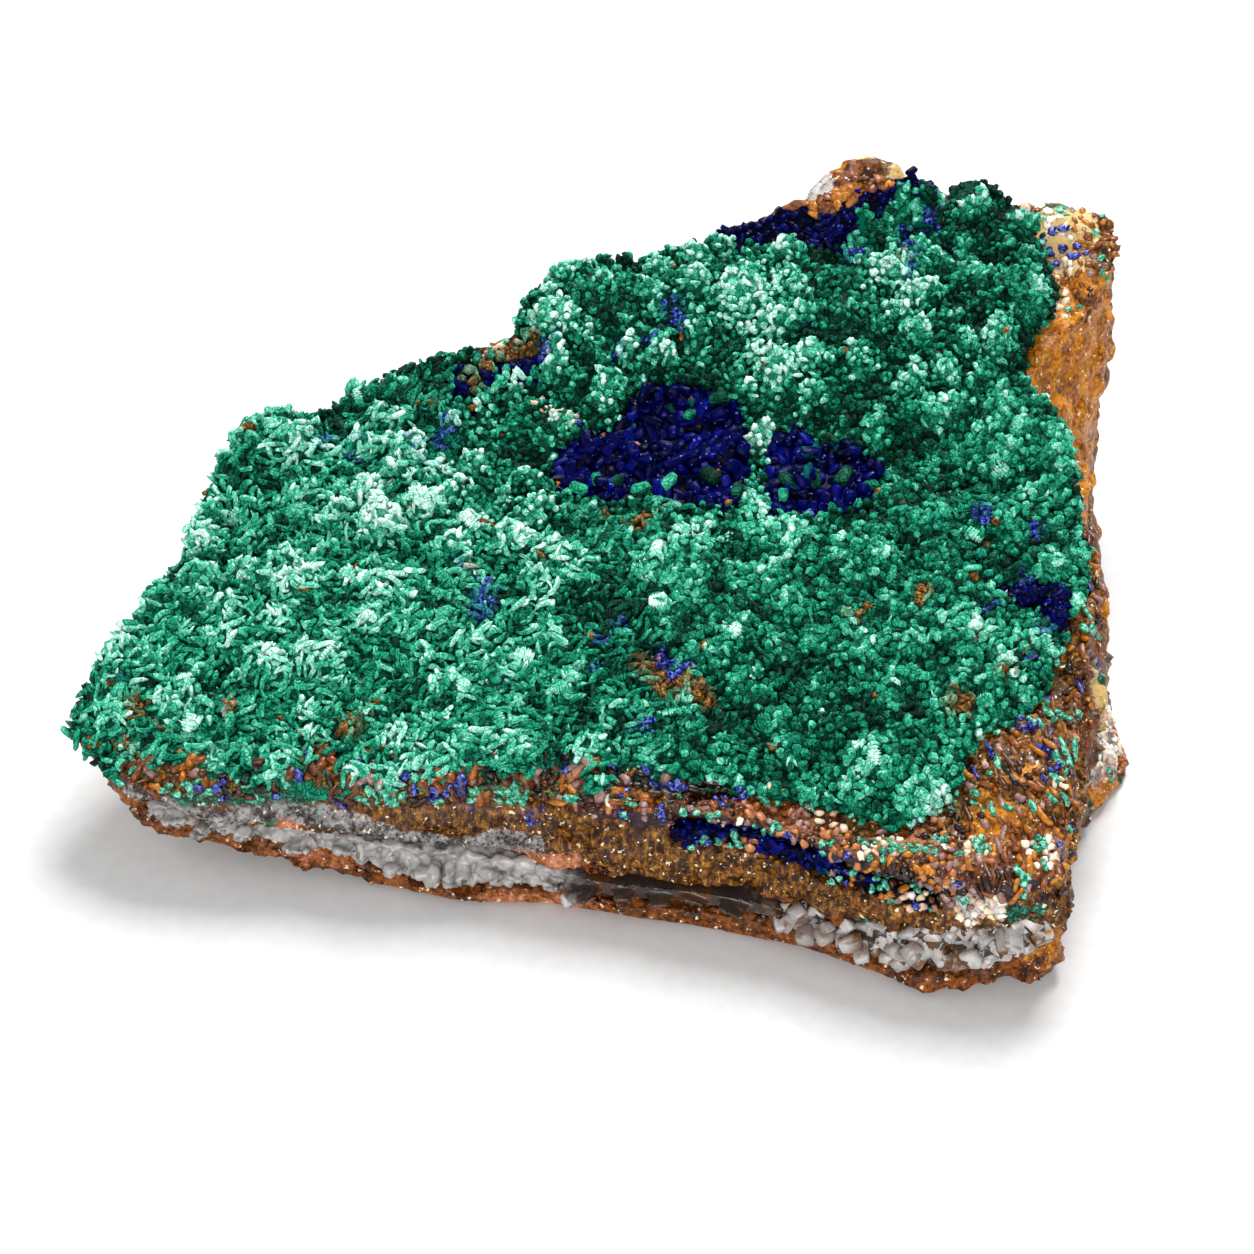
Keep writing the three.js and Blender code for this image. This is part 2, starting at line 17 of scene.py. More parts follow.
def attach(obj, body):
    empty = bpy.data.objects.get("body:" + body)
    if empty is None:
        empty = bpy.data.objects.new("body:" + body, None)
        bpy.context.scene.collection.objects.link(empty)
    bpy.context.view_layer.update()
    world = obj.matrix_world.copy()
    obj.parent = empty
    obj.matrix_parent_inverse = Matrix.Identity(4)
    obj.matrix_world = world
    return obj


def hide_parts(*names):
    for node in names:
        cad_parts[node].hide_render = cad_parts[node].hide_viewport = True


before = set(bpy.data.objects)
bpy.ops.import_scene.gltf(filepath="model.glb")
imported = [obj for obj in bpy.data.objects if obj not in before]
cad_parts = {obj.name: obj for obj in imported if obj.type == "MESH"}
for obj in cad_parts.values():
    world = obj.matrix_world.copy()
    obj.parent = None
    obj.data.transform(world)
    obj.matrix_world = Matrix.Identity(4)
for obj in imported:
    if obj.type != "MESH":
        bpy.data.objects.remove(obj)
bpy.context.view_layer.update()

bl_info = {
    "name": "Azurite and malachite specimen",
    "version": (1, 0, 0),
    "blender": (4, 5, 0),
    "location": "View3D > Sidebar > Specimen",
    "description": "Builds a granular malachite crust with azurite crystals on banded ore",
    "category": "Add Mesh",
}

MM = 0.001  # metres in a millimetre
HALVINGS = 7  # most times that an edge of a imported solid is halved
ABOVE_ALL = 90  # a height from which rays are dropped on the specimen

# The dipping top of the specimen: its height over the middle of the base, and its rise to the back and right
TOP_HEIGHT = 27.35
TOP_RISE_BACK = 0.268
TOP_RISE_RIGHT = 0.071

# The camera of the photograph, solved from the specimen's outline
PHOTO_PIXELS = 1254  # width and height of the frame
FOCAL_PIXELS = 2700  # focal length in pixels of that frame
SENSOR = 36.0  # width in millimetres
CAMERA_PLACE = (0.211, -260.703, 229.0)
CAMERA_DIP = 40  # degrees that it looks down

# Lamps: name, place and width in metres, power in watts. The key stands behind and above, a little to the
# right, so that the contact shadow falls to the front.
LAMPS = [
    ("key", (0.16, 0.42, 0.70), 0.40, 8.8),
    ("front", (-0.10, -0.95, 0.40), 0.7, 7.2),
    ("left", (-0.85, 0.10, 0.55), 0.6, 2.2),
]

# Lumps and hollows of the crust that the solid only hints at: x, y, half-width, half-depth, height
CRUST_SWELLS = [
    (9.7, 37.7, 4.2, 3.6, 1.3), (25.4, 40.7, 4.5, 3.6, 1.5), (39.3, 36.2, 4.0, 3.4, 1.4),
    (50.4, 31.2, 3.6, 3.8, 1.2), (8.3, 29.5, 3.8, 3.2, 1.1), (22.3, 30.0, 4.2, 3.4, 1.7),
    (35.6, 27.4, 4.0, 3.6, 1.5), (45.9, 21.8, 3.8, 3.6, 1.5), (19.5, 22.1, 4.2, 3.0, 1.8),
    (34.4, 18.0, 4.4, 3.4, 1.5), (47.8, 14.0, 3.8, 3.6, 1.3), (46.0, 7.7, 3.4, 3.0, 1.0),
    (52.0, 7.3, 3.6, 3.4, 1.0), (28.1, 25.4, 5.0, 1.5, -2.8), (33.0, 22.2, 4.0, 1.4, -2.6),
    (45.0, 4.4, 5.6, 1.6, -2.4), (42.9, 25.6, 2.4, 1.3, -2.0), (17.6, 16.4, 2.6, 1.4, -1.6),
    (-22.5, 26.9, 3.4, 3.2, -1.2), (-15.8, 18.4, 3.4, 3.2, -1.4), (-8.1, 10.1, 3.8, 3.4, -1.2),
    (-44.0, 13.4, 5.0, 4.0, 1.4), (-30.0, 6.0, 5.0, 3.6, 0.9), (-36.0, -6.0, 4.4, 3.6, 0.8),
    (-20.0, -2.0, 4.0, 3.2, 0.8), (-26.0, -13.0, 5.0, 3.0, 0.8), (-9.0, -23.0, 4.0, 3.0, 0.9),
]

# Where the crust is paler or darker than its mean: x, y, radius, change of tone
CRUST_SHADES = [
    (-31.0, 6.0, 11.0, 0.14), (-24.0, 12.0, 7.0, 0.08), (-39.0, 12.0, 9.0, 0.14),
    (-47.0, -10.0, 9.0, 0.10), (-8.1, 7.4, 4.0, 0.16), (-33.0, -23.0, 4.0, 0.14),
    (-46.0, -15.0, 5.0, 0.08), (-28.5, -4.6, 5.0, 0.12), (-11.5, -4.3, 4.0, 0.12), (1.8, -7.0, 5.0, 0.10),
    (9.0, 1.0, 6.0, 0.18), (20.0, -1.0, 5.0, 0.10), (-4.0, 40.0, 4.0, 0.12), (10.5, 33.5, 3.4, 0.20),
    (22.6, 36.3, 3.6, 0.22), (31.4, 31.4, 3.4, 0.22), (36.0, 27.0, 3.0, 0.12), (17.1, 25.6, 3.6, 0.24),
    (20.9, 20.6, 3.4, 0.20), (12.0, -14.0, 12.0, -0.12), (-3.0, -14.0, 7.0, -0.08),
    (26.0, -20.0, 16.0, -0.14), (42.0, -4.0, 14.0, -0.12), (44.0, 20.0, 12.0, -0.12),
    (34.0, 10.0, 10.0, -0.10), (50.0, 32.0, 8.0, -0.10), (-14.0, -28.0, 8.0, -0.10),
    (-50.0, -2.0, 6.0, -0.08), (-40.0, 24.0, 8.0, -0.06), (-58.0, -18.0, 7.0, -0.08),
]

# Rusty spots of the crust: x, y, radius, strength
CRUST_STAINS = [
    (1.7, 0.9, 1.9, 1.0), (-2.5, 3.1, 1.2, 0.8), (2.9, -20.6, 2.0, 0.9), (5.6, -23.2, 2.6, 0.9),
    (9.2, -25.0, 1.6, 0.8), (-32.0, -26.6, 1.9, 0.8), (-36.5, -29.5, 1.6, 0.6), (-18.8, -5.6, 1.0, 0.7),
    (-57.6, -22.7, 2.0, 0.8), (-54.3, -3.2, 1.2, 0.8), (-46.0, -24.0, 1.2, 0.7), (27.2, -15.9, 1.1, 0.9),
    (35.2, -13.9, 1.2, 0.7), (38.6, -27.5, 2.2, 0.8), (44.0, -24.0, 1.8, 0.7), (41.0, -20.0, 1.2, 0.6),
    (-16.4, 29.0, 3.0, 0.9), (-19.5, 23.6, 2.2, 0.7), (-12.4, 27.4, 2.4, 0.7), (-24.0, 20.4, 1.8, 0.5),
    (35.6, 36.4, 1.6, 0.6),
]

# Small blue patches in the crust, where azurite has altered to malachite: x, y, radius, strength
CRUST_BLUES = [
    (-16.9, -10.0, 1.5, 1.0), (-17.9, -12.6, 1.2, 0.8), (-16.3, -7.4, 1.3, 0.8), (-20.1, -4.6, 1.0, 0.6),
    (-0.7, -14.2, 1.2, 0.8), (-2.8, -16.4, 1.2, 0.9), (-3.7, -20.2, 1.3, 0.7), (4.7, -20.2, 1.4, 1.0),
    (6.7, -21.7, 1.3, 1.0), (4.1, -17.2, 1.0, 0.8), (2.5, -28.8, 1.2, 1.0), (6.0, 30.9, 1.6, 1.0),
    (7.0, 28.4, 1.1, 0.9), (-0.7, 27.3, 1.4, 0.8), (3.1, 26.2, 1.3, 0.8), (37.5, 38.0, 1.2, 1.0),
    (30.3, 40.2, 1.4, 0.9), (39.9, 45.1, 1.6, 1.0), (36.6, 43.0, 1.6, 1.0), (42.0, 40.5, 1.3, 0.9),
    (36.8, 34.8, 1.0, 1.0), (36.2, 38.7, 1.1, 1.0), (-38.5, 15.7, 1.6, 0.6), (-34.6, 14.4, 1.7, 0.6),
    (-30.0, 12.4, 1.6, 0.5), (-26.6, 13.6, 1.6, 0.6), (-23.0, 16.5, 1.8, 0.8), (-20.5, 8.3, 1.4, 0.5),
    (-10.3, 25.6, 1.8, 0.9), (43.4, -2.1, 1.6, 0.8), (49.1, -4.7, 1.6, 0.9), (47.4, -11.6, 1.4, 0.9),
    (49.6, -17.6, 1.5, 0.8), (47.4, -21.4, 1.4, 0.7), (46.4, -29.6, 1.4, 0.9), (43.0, -15.0, 1.2, 0.6),
]

# Sprays of pale fibrous malachite: x, y, blade length
SPRAYS = [
    (-33.2, -22.4, 2.8), (-31.2, -24.8, 2.0), (-21.5, -25.5, 2.0), (-41.0, -18.0, 1.9), (-6.1, -6.5, 2.0),
    (1.8, -8.0, 2.0), (-13.5, -2.6, 2.2), (-25.0, 4.0, 2.2), (-33.0, -5.0, 2.0), (9.4, -19.5, 2.0),
    (15.0, -23.0, 1.8), (-16.2, -17.8, 2.2), (12.0, -1.8, 2.0),
]

# Stubby green crystals that sit on the azurite: x, y, length
AZURITE_RIDERS = [
    (10.6, 8.1, 2.9), (13.8, 5.0, 2.2), (20.1, 6.0, 2.6), (23.4, 5.8, 2.4), (26.9, 5.9, 2.8),
    (19.4, 3.8, 2.2), (1.9, 6.6, 2.4), (-5.8, 4.2, 2.2), (11.7, 17.7, 2.4), (8.1, 17.1, 2.0),
    (-3.6, 8.6, 2.0), (5.4, 4.4, 2.2), (30.2, 4.6, 2.0), (-1.0, 5.0, 1.9),
]

# The layers of the front wall from the rim down: the share of the wall's height where each one ends, at
# stations along x
FRONT_STATIONS = (-60, -55, -47, -38, -33, -26, -17, -7.5, 1.7, 10.8, 20, 28.5, 37.4, 44, 50)
LIP_END = (0.90, 0.88, 0.93, 0.93, 0.92, 0.90, 0.86, 0.84, 0.78, 0.82, 0.84, 0.84, 0.86, 0.84, 0.84)
FIBROUS_END = (0.80, 0.76, 0.68, 0.74, 0.72, 0.58, 0.58, 0.61, 0.46, 0.50, 0.52, 0.50, 0.56, 0.52, 0.52)
SEAM_END = (0.60, 0.60, 0.56, 0.58, 0.50, 0.33, 0.28, 0.40, 0.34, 0.34, 0.32, 0.24, 0.22, 0.27, 0.30)
CRUMB_END = (0.36, 0.36, 0.35, 0.42, 0.40, 0.30, 0.20, 0.27, 0.16, 0.16, 0.16, 0.10, 0.10, 0.10, 0.10)

# The front rim of the rock in the plan view: x, y
FRONT_RIM = ((-62, -28.5), (-45, -33.2), (-26, -35.0), (-8, -36.4), (12, -41.0), (30, -49.2), (48, -51.0))

# Bulges of the rock: x, y, z, radius, height
ROCK_BULGES = [
    (56.5, 44.0, 42.5, 3.6, 2.0), (17.0, 47.5, 42.0, 3.6, 0.9), (27.5, 52.0, 45.0, 3.6, 0.9),
]

# Stains of the bare rock, by the layer whose colours they show, with one painted highlight among the glassy
# ones: x, y, z, radius
STAINS = {
    "glassy": [
        (58.0, -15.2, 7.0, 5.4), (56.5, -14.0, 12.0, 3.6), (60.8, -13.0, 4.0, 2.6),
        # The spot at 25.2, 51.4 paints the lilac-white highlight on the back knob.
        (59.4, -10.1, 6.0, 4.2), (57.4, -18.6, 9.0, 4.6), (25.2, 51.4, 44.6, 2.2),
        (54.6, -26.0, 10.0, 2.6), (52.6, -34.0, 12.0, 2.4), (37.0, -51.0, 13.0, 2.6),
        (40.5, -51.6, 12.4, 2.4),
    ],
    "salmon": [
        (-7.6, -39.0, 3.6, 5.2), (-13.0, -38.4, 2.6, 4.2), (-38.0, -34.5, 5.6, 3.2),
        (-33.0, -35.4, 4.6, 3.4), (62.1, -12.4, 1.1, 4.2), (59.6, -18.4, 4.2, 2.6),
        (31.0, -44.0, 17.0, 3.4),
    ],
    "cream": [
        (57.5, 41.0, 43.0, 4.5), (31.4, 51.4, 45.6, 1.2), (56.0, -21.0, 13.0, 3.8),
        (54.5, 4.5, 26.0, 1.6), (37.0, 51.5, 45.0, 2.6), (55.5, 43.0, 43.0, 3.5), (54.0, -6.0, 19.0, 1.8),
        (55.3, -22.0, 19.0, 2.4),
    ],
    "green": [
        (-42.0, -33.4, 12.4, 3.0), (-50.0, -32.0, 11.8, 2.6), (-36.0, -33.8, 12.4, 2.4),
        (-41.0, -34.0, 6.8, 1.8), (28.0, -49.4, 7.6, 1.5), (31.0, -50.4, 8.2, 1.5),
        (44.0, -51.6, 12.6, 1.6), (47.0, -51.6, 12.2, 1.6), (54.9, -26.4, 5.9, 2.8),
        (53.4, -31.0, 8.0, 2.6), (51.6, -40.0, 11.0, 2.6), (50.4, -45.3, 10.5, 2.4),
        (54.6, -20.0, 17.0, 2.0), (60.8, -7.0, 3.0, 2.2), (61.4, -17.6, 1.2, 1.8),
        (49.5, 46.0, 30.0, 4.0), (43.0, 48.0, 34.0, 3.0), (-20.0, 30.0, 25.0, 4.0),
        (-13.0, 33.0, 22.0, 3.0), (-52.0, 8.0, 14.0, 5.0),
    ],
    "blue": [
        (-17.0, -35.0, 14.0, 3.0), (-11.0, -36.0, 13.0, 1.8), (-46.0, -33.0, 13.0, 2.0),
        (0.0, -38.6, 15.2, 1.5), (5.0, -39.6, 15.2, 1.7), (50.6, -9.0, 24.0, 3.2),
        (52.0, -3.5, 25.5, 2.6), (48.6, -26.0, 22.5, 2.0), (47.0, -33.0, 21.6, 1.8),
        (56.6, 40.4, 41.6, 2.4), (54.0, -10.0, 19.0, 3.6), (53.6, -18.0, 18.0, 2.6),
        (53.0, 18.0, 30.0, 3.0),
    ],
    "amber": [
        (45.0, -38.0, 20.0, 3.0), (40.0, -44.0, 18.0, 3.6), (49.0, -45.0, 17.0, 3.6),
        (53.0, 8.0, 25.0, 10.0), (54.0, 22.0, 30.0, 11.0), (55.0, 36.0, 34.0, 9.0),
        (54.0, -6.0, 20.0, 6.0), (56.0, 30.0, 14.0, 8.0), (55.0, 8.0, 8.0, 5.0), (47.5, -49.0, 6.0, 4.4),
        (29.0, 52.4, 46.4, 2.0), (-55.0, -31.0, 13.6, 3.0), (-49.0, -32.2, 13.6, 2.4),
        (57.8, -21.2, 4.8, 3.2), (59.5, -20.5, 2.2, 2.4),
    ],
}

# The nodules beside the crust, by stretches of x: from, to, their tones on the nodule ramp, how often each
# one comes, and the share that is blue and green
NODULE_MIXES = [
    (-90, -28, (0.0, 0.14, 0.22, 0.33, 0.68), (2, 5, 4, 2, 0.4), 0.06, 0.2),
    (-28, -8, (0.0, 0.14, 0.24, 0.68), (3, 4, 2, 0.4), 0.16, 0.12),
    (-8, 22, (0.0, 0.14, 0.28, 0.42, 0.55, 0.68, 0.92), (3, 4, 1, 0.7, 1, 3, 0.5), 0.16, 0.1),
    (22, 38, (0.0, 0.14, 0.36, 0.55, 0.68, 0.8, 0.92), (1, 2.5, 2, 2, 2, 1.6, 0.6), 0.12, 0.08),
    (38, 90, (0.0, 0.14, 0.24, 0.34, 0.55, 0.68), (2, 5, 6, 5, 0.6, 1.2), 0.03, 0.11),
]
KNOB_MIXES = [
    (-90, 0, (0.0, 0.14, 0.28, 0.68, 0.92, 1.0), (1, 3, 3, 1, 1.5, 0.8), 0.12, 0.1),
    (46, 58, (0.28, 0.38, 0.86, 0.92, 1.0), (1, 1, 2, 6, 1), 0.02, 0.03),
    (58, 90, (0.14, 0.26, 0.34, 0.68), (3, 4, 2, 1.5), 0.02, 0.02),
]

# Cream and pink calcite in the crust: x, y, radius, strength, and its mix as above
CREAM_PATCHES = [
    (-8.7, 18.1, 1.6, 1.0), (-10.4, 19.4, 1.2, 1.0), (-7.2, 16.6, 1.2, 1.0), (-18.6, 27.4, 1.5, 1.0),
    (-16.1, 28.2, 1.2, 1.0), (16.7, -38.0, 1.6, 1.0), (-37.6, -27.0, 0.8, 1.0),
]
WHITE_MIX = [(-90, 90, (0.68, 0.8, 0.92, 1.0), (2, 2, 3, 2), 0.0, 0.04)]
WINDOW_MIX = [(-90, 90, (0.24, 0.32, 0.38), (2, 2, 1), 0.0, 0.0)]
CREAM_MIX = [(-90, 90, (0.42, 0.68, 0.8, 0.92, 1.0), (1, 0.8, 1.5, 3, 1), 0.03, 0.04)]
PINK_PATCHES = [
    (46.5, -47.5, 2.8, 1.0), (36.0, -44.5, 1.8, 1.0), (39.5, -46.5, 1.6, 1.0),
]
BLUE_RIBS = [
    (48.6, -38.6, 1.7, 1.0), (46.4, -29.8, 1.3, 1.0), (48.4, -33.4, 1.1, 1.0), (53.2, 20.0, 1.3, 1.0),
]
KNOB_BLUES = [
    (56.0, 40.8, 1.9, 1.0), (58.6, 38.6, 1.9, 1.0), (55.0, 38.2, 1.5, 1.0),
]
BLUE_MIX = [(-90, 90, (0.0, 0.92), (1, 1), 0.8, 0.05)]
KNOB_BLUE_MIX = [(-90, 90, (0.0, 0.92), (1, 1), 0.95, 0.0)]

# The azurite clusters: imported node, gap between crystals, and the (least, greatest) length, width and height
AZURITE_CLUSTERS = [
    ("azurite_centre_left", 1.12, [(1.6, 3.3), (1.1, 1.7), (1.1, 1.6)]),
    ("azurite_centre_right", 1.12, [(1.6, 3.1), (1.1, 1.7), (1.1, 1.6)]),
    ("azurite_back", 0.85, [(0.9, 1.8), (0.7, 1.1), (0.7, 1.1)]),
    ("azurite_left", 1.0, [(1.1, 2.3), (0.8, 1.3), (0.8, 1.2)]),
    ("azurite_right", 0.9, [(1.0, 2.2), (0.7, 1.1), (0.7, 1.0)]),
    ("azurite_lip", 0.8, [(0.8, 1.6), (0.6, 1.0), (0.5, 0.9)]),
]

# Where the azurite at the back ends towards the green crust, in the plan view, and its window of bare rock:
# middle and half-widths
BACK_BORDER = ((12, 40.0), (24, 40.0), (27, 40.4), (31, 43.3), (36, 46.8), (43, 48.6))
BACK_WINDOW = (26.9, 46.9, 3.3, 1.1)
BACK_KNOB = (22, 34.5, 47.6)  # from x to x, and the y behind which the knob covers it

# The stretches of the quartz seam along x: from, to, gap between crystals, their share of the greatest
# length, and their tone
QUARTZ_STRETCHES = [
    (-60, -28, 2.4, 0.5, 0.42),
    (-28, -6, 5.0, 0.5, 0.45),
    (17, 50, 1.25, 0.85, 0.62),
]

# Kinds of rounded grain: sides, rings, bluntness, unevenness, bend, and how many different ones
ROD_KINDS = {
    "worm": (6, 5, 3.4, 0.12, 0.9, 16),
    "rod": (6, 4, 3.6, 0.2, 1.0, 20),
    "curled flake": (5, 3, 3.0, 0.15, 1.6, 14),
    "block": (6, 3, 5.0, 0.2, 0.3, 16),
    "small bead": (6, 2, 2.6, 0.16, 0.1, 10),
    "flake": (5, 3, 3.0, 0.15, 1.4, 14),
    "bead": (7, 3, 2.8, 0.18, 0.35, 16),
    "flat flake": (5, 3, 3.0, 0.15, 1.3, 14),
    "tip": (5, 2, 2.6, 0.10, 0.1, 8),
    "fibre": (5, 2, 3.4, 0.08, 0.1, 8),
    "blade": (4, 2, 2.4, 0.08, 0.25, 8),
    "long blade": (5, 4, 2.6, 0.08, 0.3, 10),
    "pebble": (6, 3, 3.6, 0.26, 0.3, 20),
    "rib": (6, 4, 3.6, 0.12, 0.5, 10),
}

# Kinds of flat-sided crystal: chamfer, chisel, unevenness, and how many different ones
BLOCK_KINDS = {
    "azurite": (0.26, 0.3, 0.06, 18),
    "malachite": (0.36, 0.3, 0.08, 12),
    "quartz": (0.22, 0.25, 0.07, 16),
}

SKY_STRENGTH = 0.47  # light that comes from all round
DEEPEST_HOLLOW = -1.7  # of the crust, in millimetres, so that its bed stays over the rock
HIDDEN_EDGE = 3.5  # longest edge of a mesh where nothing shows, in millimetres
OPEN_SIDE = (0, -0.5, 0.87)  # the direction that the free faces of the azurite look in
STAIN_EDGES = (2.2, 4.0, 171)  # how far the edges of the stains wander, in swells of which size, and a seed
GRAIN_REACH = 1.25  # height over the ground from which a grain stands free, in millimetres
PLAN = (1, 1, 0)  # times a place, this gives its place in the plan view
LAMP_TARGET = (0, 0, 0.02)  # what the lamps look at, in metres


# Small tools

def hex_colour(code):
    """A linear RGBA colour from an sRGB hex value."""
    channels = [(code >> shift & 255) / 255 for shift in (16, 8, 0)]
    linear = [c / 12.92 if c <= 0.04045 else ((c + 0.055) / 1.055) ** 2.4 for c in channels]
    return (*linear, 1.0)


def per_mm(size):
    """The scale of a pattern in metres whose bumps are as many millimetres apart."""
    return 1 / (size * MM)


def smooth_step(low, high, value):
    """0 below low, 1 above high and a soft rise between them. Low may be the greater one."""
    share = np.clip((value - low) / (high - low), 0, 1)
    return share * share * (3 - 2 * share)


def top_plane(x, y):
    """The mean height of the dipping top."""
    return TOP_HEIGHT + TOP_RISE_BACK * y + TOP_RISE_RIGHT * x


def behind_rim(x, y):
    """How far places of the plan view lie behind the front rim of the rock."""
    return y - np.interp(x, *zip(*FRONT_RIM))


def lattice_value(keys, seed):
    """A repeatable random value from 0 to 1 for each whole-number point."""
    mixed = np.full(len(keys), seed * 2654435761 % 4294967296, dtype=np.uint64)
    for column, prime in zip(keys.T, (73856093, 19349663, 83492791)):
        mixed ^= (column.astype(np.int64) * prime).astype(np.uint64)
    mixed = (mixed ^ (mixed >> np.uint64(13))) * np.uint64(1274126177) % np.uint64(4294967296)
    mixed = (mixed ^ (mixed >> np.uint64(15))) * np.uint64(2246822519) % np.uint64(4294967296)
    return mixed.astype(float) / 4294967296


def soft_noise(points, size, seed):
    """Smooth random values from -1 to 1 over space, with swells of about the given size."""
    cells = points / size
    low = np.floor(cells)
    part = cells - low
    part = part * part * (3 - 2 * part)
    total = np.zeros(len(points))
    for corner in itertools.product((0, 1), repeat=3):
        weight = np.prod(np.where(corner, part, 1 - part), axis=1)
        total += weight * lattice_value(low + corner, seed)
    return 2 * total - 1


def layered_noise(points, size, seed):
    """Soft noise with two layers of finer detail on it."""
    return sum(soft_noise(points, size / 2 ** k, seed + k) / 2 ** k for k in range(3))


def nearest_cells(points, size, seed):
    """For each point the nearest jittered cell middle, its distance, and that to the second nearest."""
    base = np.floor(points / size)
    best = np.full(len(points), np.inf)
    second = best.copy()
    middle = np.zeros_like(points)
    for step in itertools.product((-1, 0, 1), repeat=3):
        keys = base + step
        jitter = np.stack([lattice_value(keys, seed + k) for k in range(3)], axis=1)
        spot = (keys + 0.1 + 0.8 * jitter) * size
        away = np.linalg.norm(points - spot, axis=1)
        nearer = away < best
        second = np.where(nearer, best, np.minimum(second, away))
        middle[nearer] = spot[nearer]
        best = np.where(nearer, away, best)
    return middle, best, second


def broken_faces(points, size, seed):
    """How far flat broken faces of about the given size stand out, each leaning its own way."""
    middle, _, _ = nearest_cells(points, size, seed)
    keys = np.round(middle * 100)
    lean = np.stack([lattice_value(keys, seed + k) for k in range(4, 7)], axis=1) - 0.5
    return ((points - middle) * lean).sum(axis=1)


def cell_cushions(points, size, seed, groove):
    """Rounded lumps of about the given size, from 0 in the grooves between them to 1."""
    _, near, far = nearest_cells(points, size, seed)
    return smooth_step(0, groove, far - near)


def swells_at(points, table):
    """The height of the lumps and hollows of a table at points of the plan view."""
    total = np.zeros(len(points))
    for x, y, wide, deep, height in table:
        total += height * np.exp(-((points[:, 0] - x) / wide) ** 2 - ((points[:, 1] - y) / deep) ** 2)
    return total


def patches_at(points, table):
    """The strength of the round patches of a table (x, y, radius, strength) in the plan view."""
    total = np.zeros(len(points))
    for x, y, radius, strength in table:
        total += strength * np.exp(-((points[:, 0] - x) ** 2 + (points[:, 1] - y) ** 2) / radius ** 2)
    return total


def wandering(points, reach, size, seed):
    """Places shifted by soft noise, so that what is drawn from them gets uneven edges."""
    return points + reach * np.stack([soft_noise(points, size, seed + step) for step in range(3)], axis=1)


def spots_at(points, table):
    """The strength of the round spots of a table (x, y, z, radius) in space."""
    total = np.zeros(len(points))
    for *centre, radius in table:
        total += np.exp(-(((points - centre) / radius) ** 2).sum(axis=1))
    return total


# Surfaces

def unit(vectors):
    """The same directions, each with a length of 1."""
    return vectors / np.maximum(np.linalg.norm(vectors, axis=1, keepdims=True), 1e-12)


class Surface:
    """A triangle mesh in millimetres."""

    def __init__(self, points, faces):
        self.points = np.asarray(points, float)
        self.faces = np.asarray(faces, np.int64)

    def face_normals(self):
        """Each face's normal, as long as twice its area."""
        a, b, c = (self.points[self.faces[:, k]] for k in range(3))
        return np.cross(b - a, c - a)

    def face_slopes(self):
        """Each face's unit normal."""
        return unit(self.face_normals())

    def face_middles(self):
        return self.points[self.faces].mean(axis=1)

    def normals(self):
        """Unit normals at the points."""
        total = np.zeros_like(self.points)
        across = self.face_normals()
        for k in range(3):
            for axis in range(3):
                total[:, axis] += np.bincount(self.faces[:, k], across[:, axis], len(self.points))
        return unit(total)

    def tree(self):
        """A search tree that rays can be dropped on."""
        return BVHTree.FromPolygons(self.points.tolist(), self.faces.tolist())


def dropped(tree, places):
    """Where rays from above first meet the tree's surface: its height there, or nan where they miss."""
    heights = np.full(len(places), np.nan)
    down = Vector((0, 0, -1))
    for i, (x, y) in enumerate(places[:, :2].tolist()):
        place = tree.ray_cast(Vector((x, y, ABOVE_ALL)), down)[0]
        if place is not None:
            heights[i] = place.z
    return heights


def node_surface(name):
    """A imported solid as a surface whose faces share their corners."""
    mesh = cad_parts[name].data
    points = np.zeros(3 * len(mesh.vertices))
    mesh.vertices.foreach_get("co", points)
    mesh.calc_loop_triangles()
    faces = np.zeros(3 * len(mesh.loop_triangles), np.int32)
    mesh.loop_triangles.foreach_get("vertices", faces)
    merged, index = np.unique(np.round(points.reshape(-1, 3) / MM, 4), axis=0, return_inverse=True)
    faces = index.reshape(-1)[faces].reshape(-1, 3)
    whole = (faces[:, 0] != faces[:, 1]) & (faces[:, 1] != faces[:, 2]) & (faces[:, 2] != faces[:, 0])
    return Surface(merged, faces[whole])


def refined(surface, longest):
    """Halves the edges that are longer than longest(middle of the edge), over and over."""
    points, faces = surface.points, surface.faces
    for _ in range(HALVINGS):
        sides = np.sort(faces[:, [0, 1, 1, 2, 2, 0]].reshape(-1, 2), axis=1)
        edges, index = np.unique(sides, axis=0, return_inverse=True)
        ends = points[edges]
        middles = ends.mean(axis=1)
        split = np.linalg.norm(ends[:, 0] - ends[:, 1], axis=1) > longest(middles)
        new = np.full(len(edges), -1)
        new[split] = len(points) + np.arange(split.sum())
        points = np.vstack([points, middles[split]])
        faces = split_faces(faces, new[index.reshape(-1)].reshape(-1, 3))
    return Surface(points, faces)


def fine_node(name, longest):
    """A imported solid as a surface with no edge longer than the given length."""
    return refined(node_surface(name), lambda middles: longest)


def split_faces(faces, middles):
    """Cuts each face at the middles of its sides ab, bc and ca, where -1 means that a side stays whole."""
    cut = middles >= 0
    count = cut.sum(axis=1)
    parts = [faces[count == 0]]
    for turn in range(3):
        a, b, c = (faces[:, (k + turn) % 3] for k in range(3))
        ab, bc, ca = (middles[:, (k + turn) % 3] for k in range(3))
        one = (count == 1) & (ab >= 0)
        parts.append(np.stack([a[one], ab[one], c[one]], axis=1))
        parts.append(np.stack([ab[one], b[one], c[one]], axis=1))
        two = (count == 2) & (ab < 0)
        parts.append(np.stack([c[two], ca[two], bc[two]], axis=1))
        parts.append(np.stack([a[two], b[two], bc[two]], axis=1))
        parts.append(np.stack([a[two], bc[two], ca[two]], axis=1))
    three = count == 3
    a, b, c = faces[three].T
    ab, bc, ca = middles[three].T
    parts += [np.stack(corners, axis=1) for corners in ((a, ab, ca), (ab, b, bc), (ca, bc, c), (ab, bc, ca))]
    return np.vstack(parts)


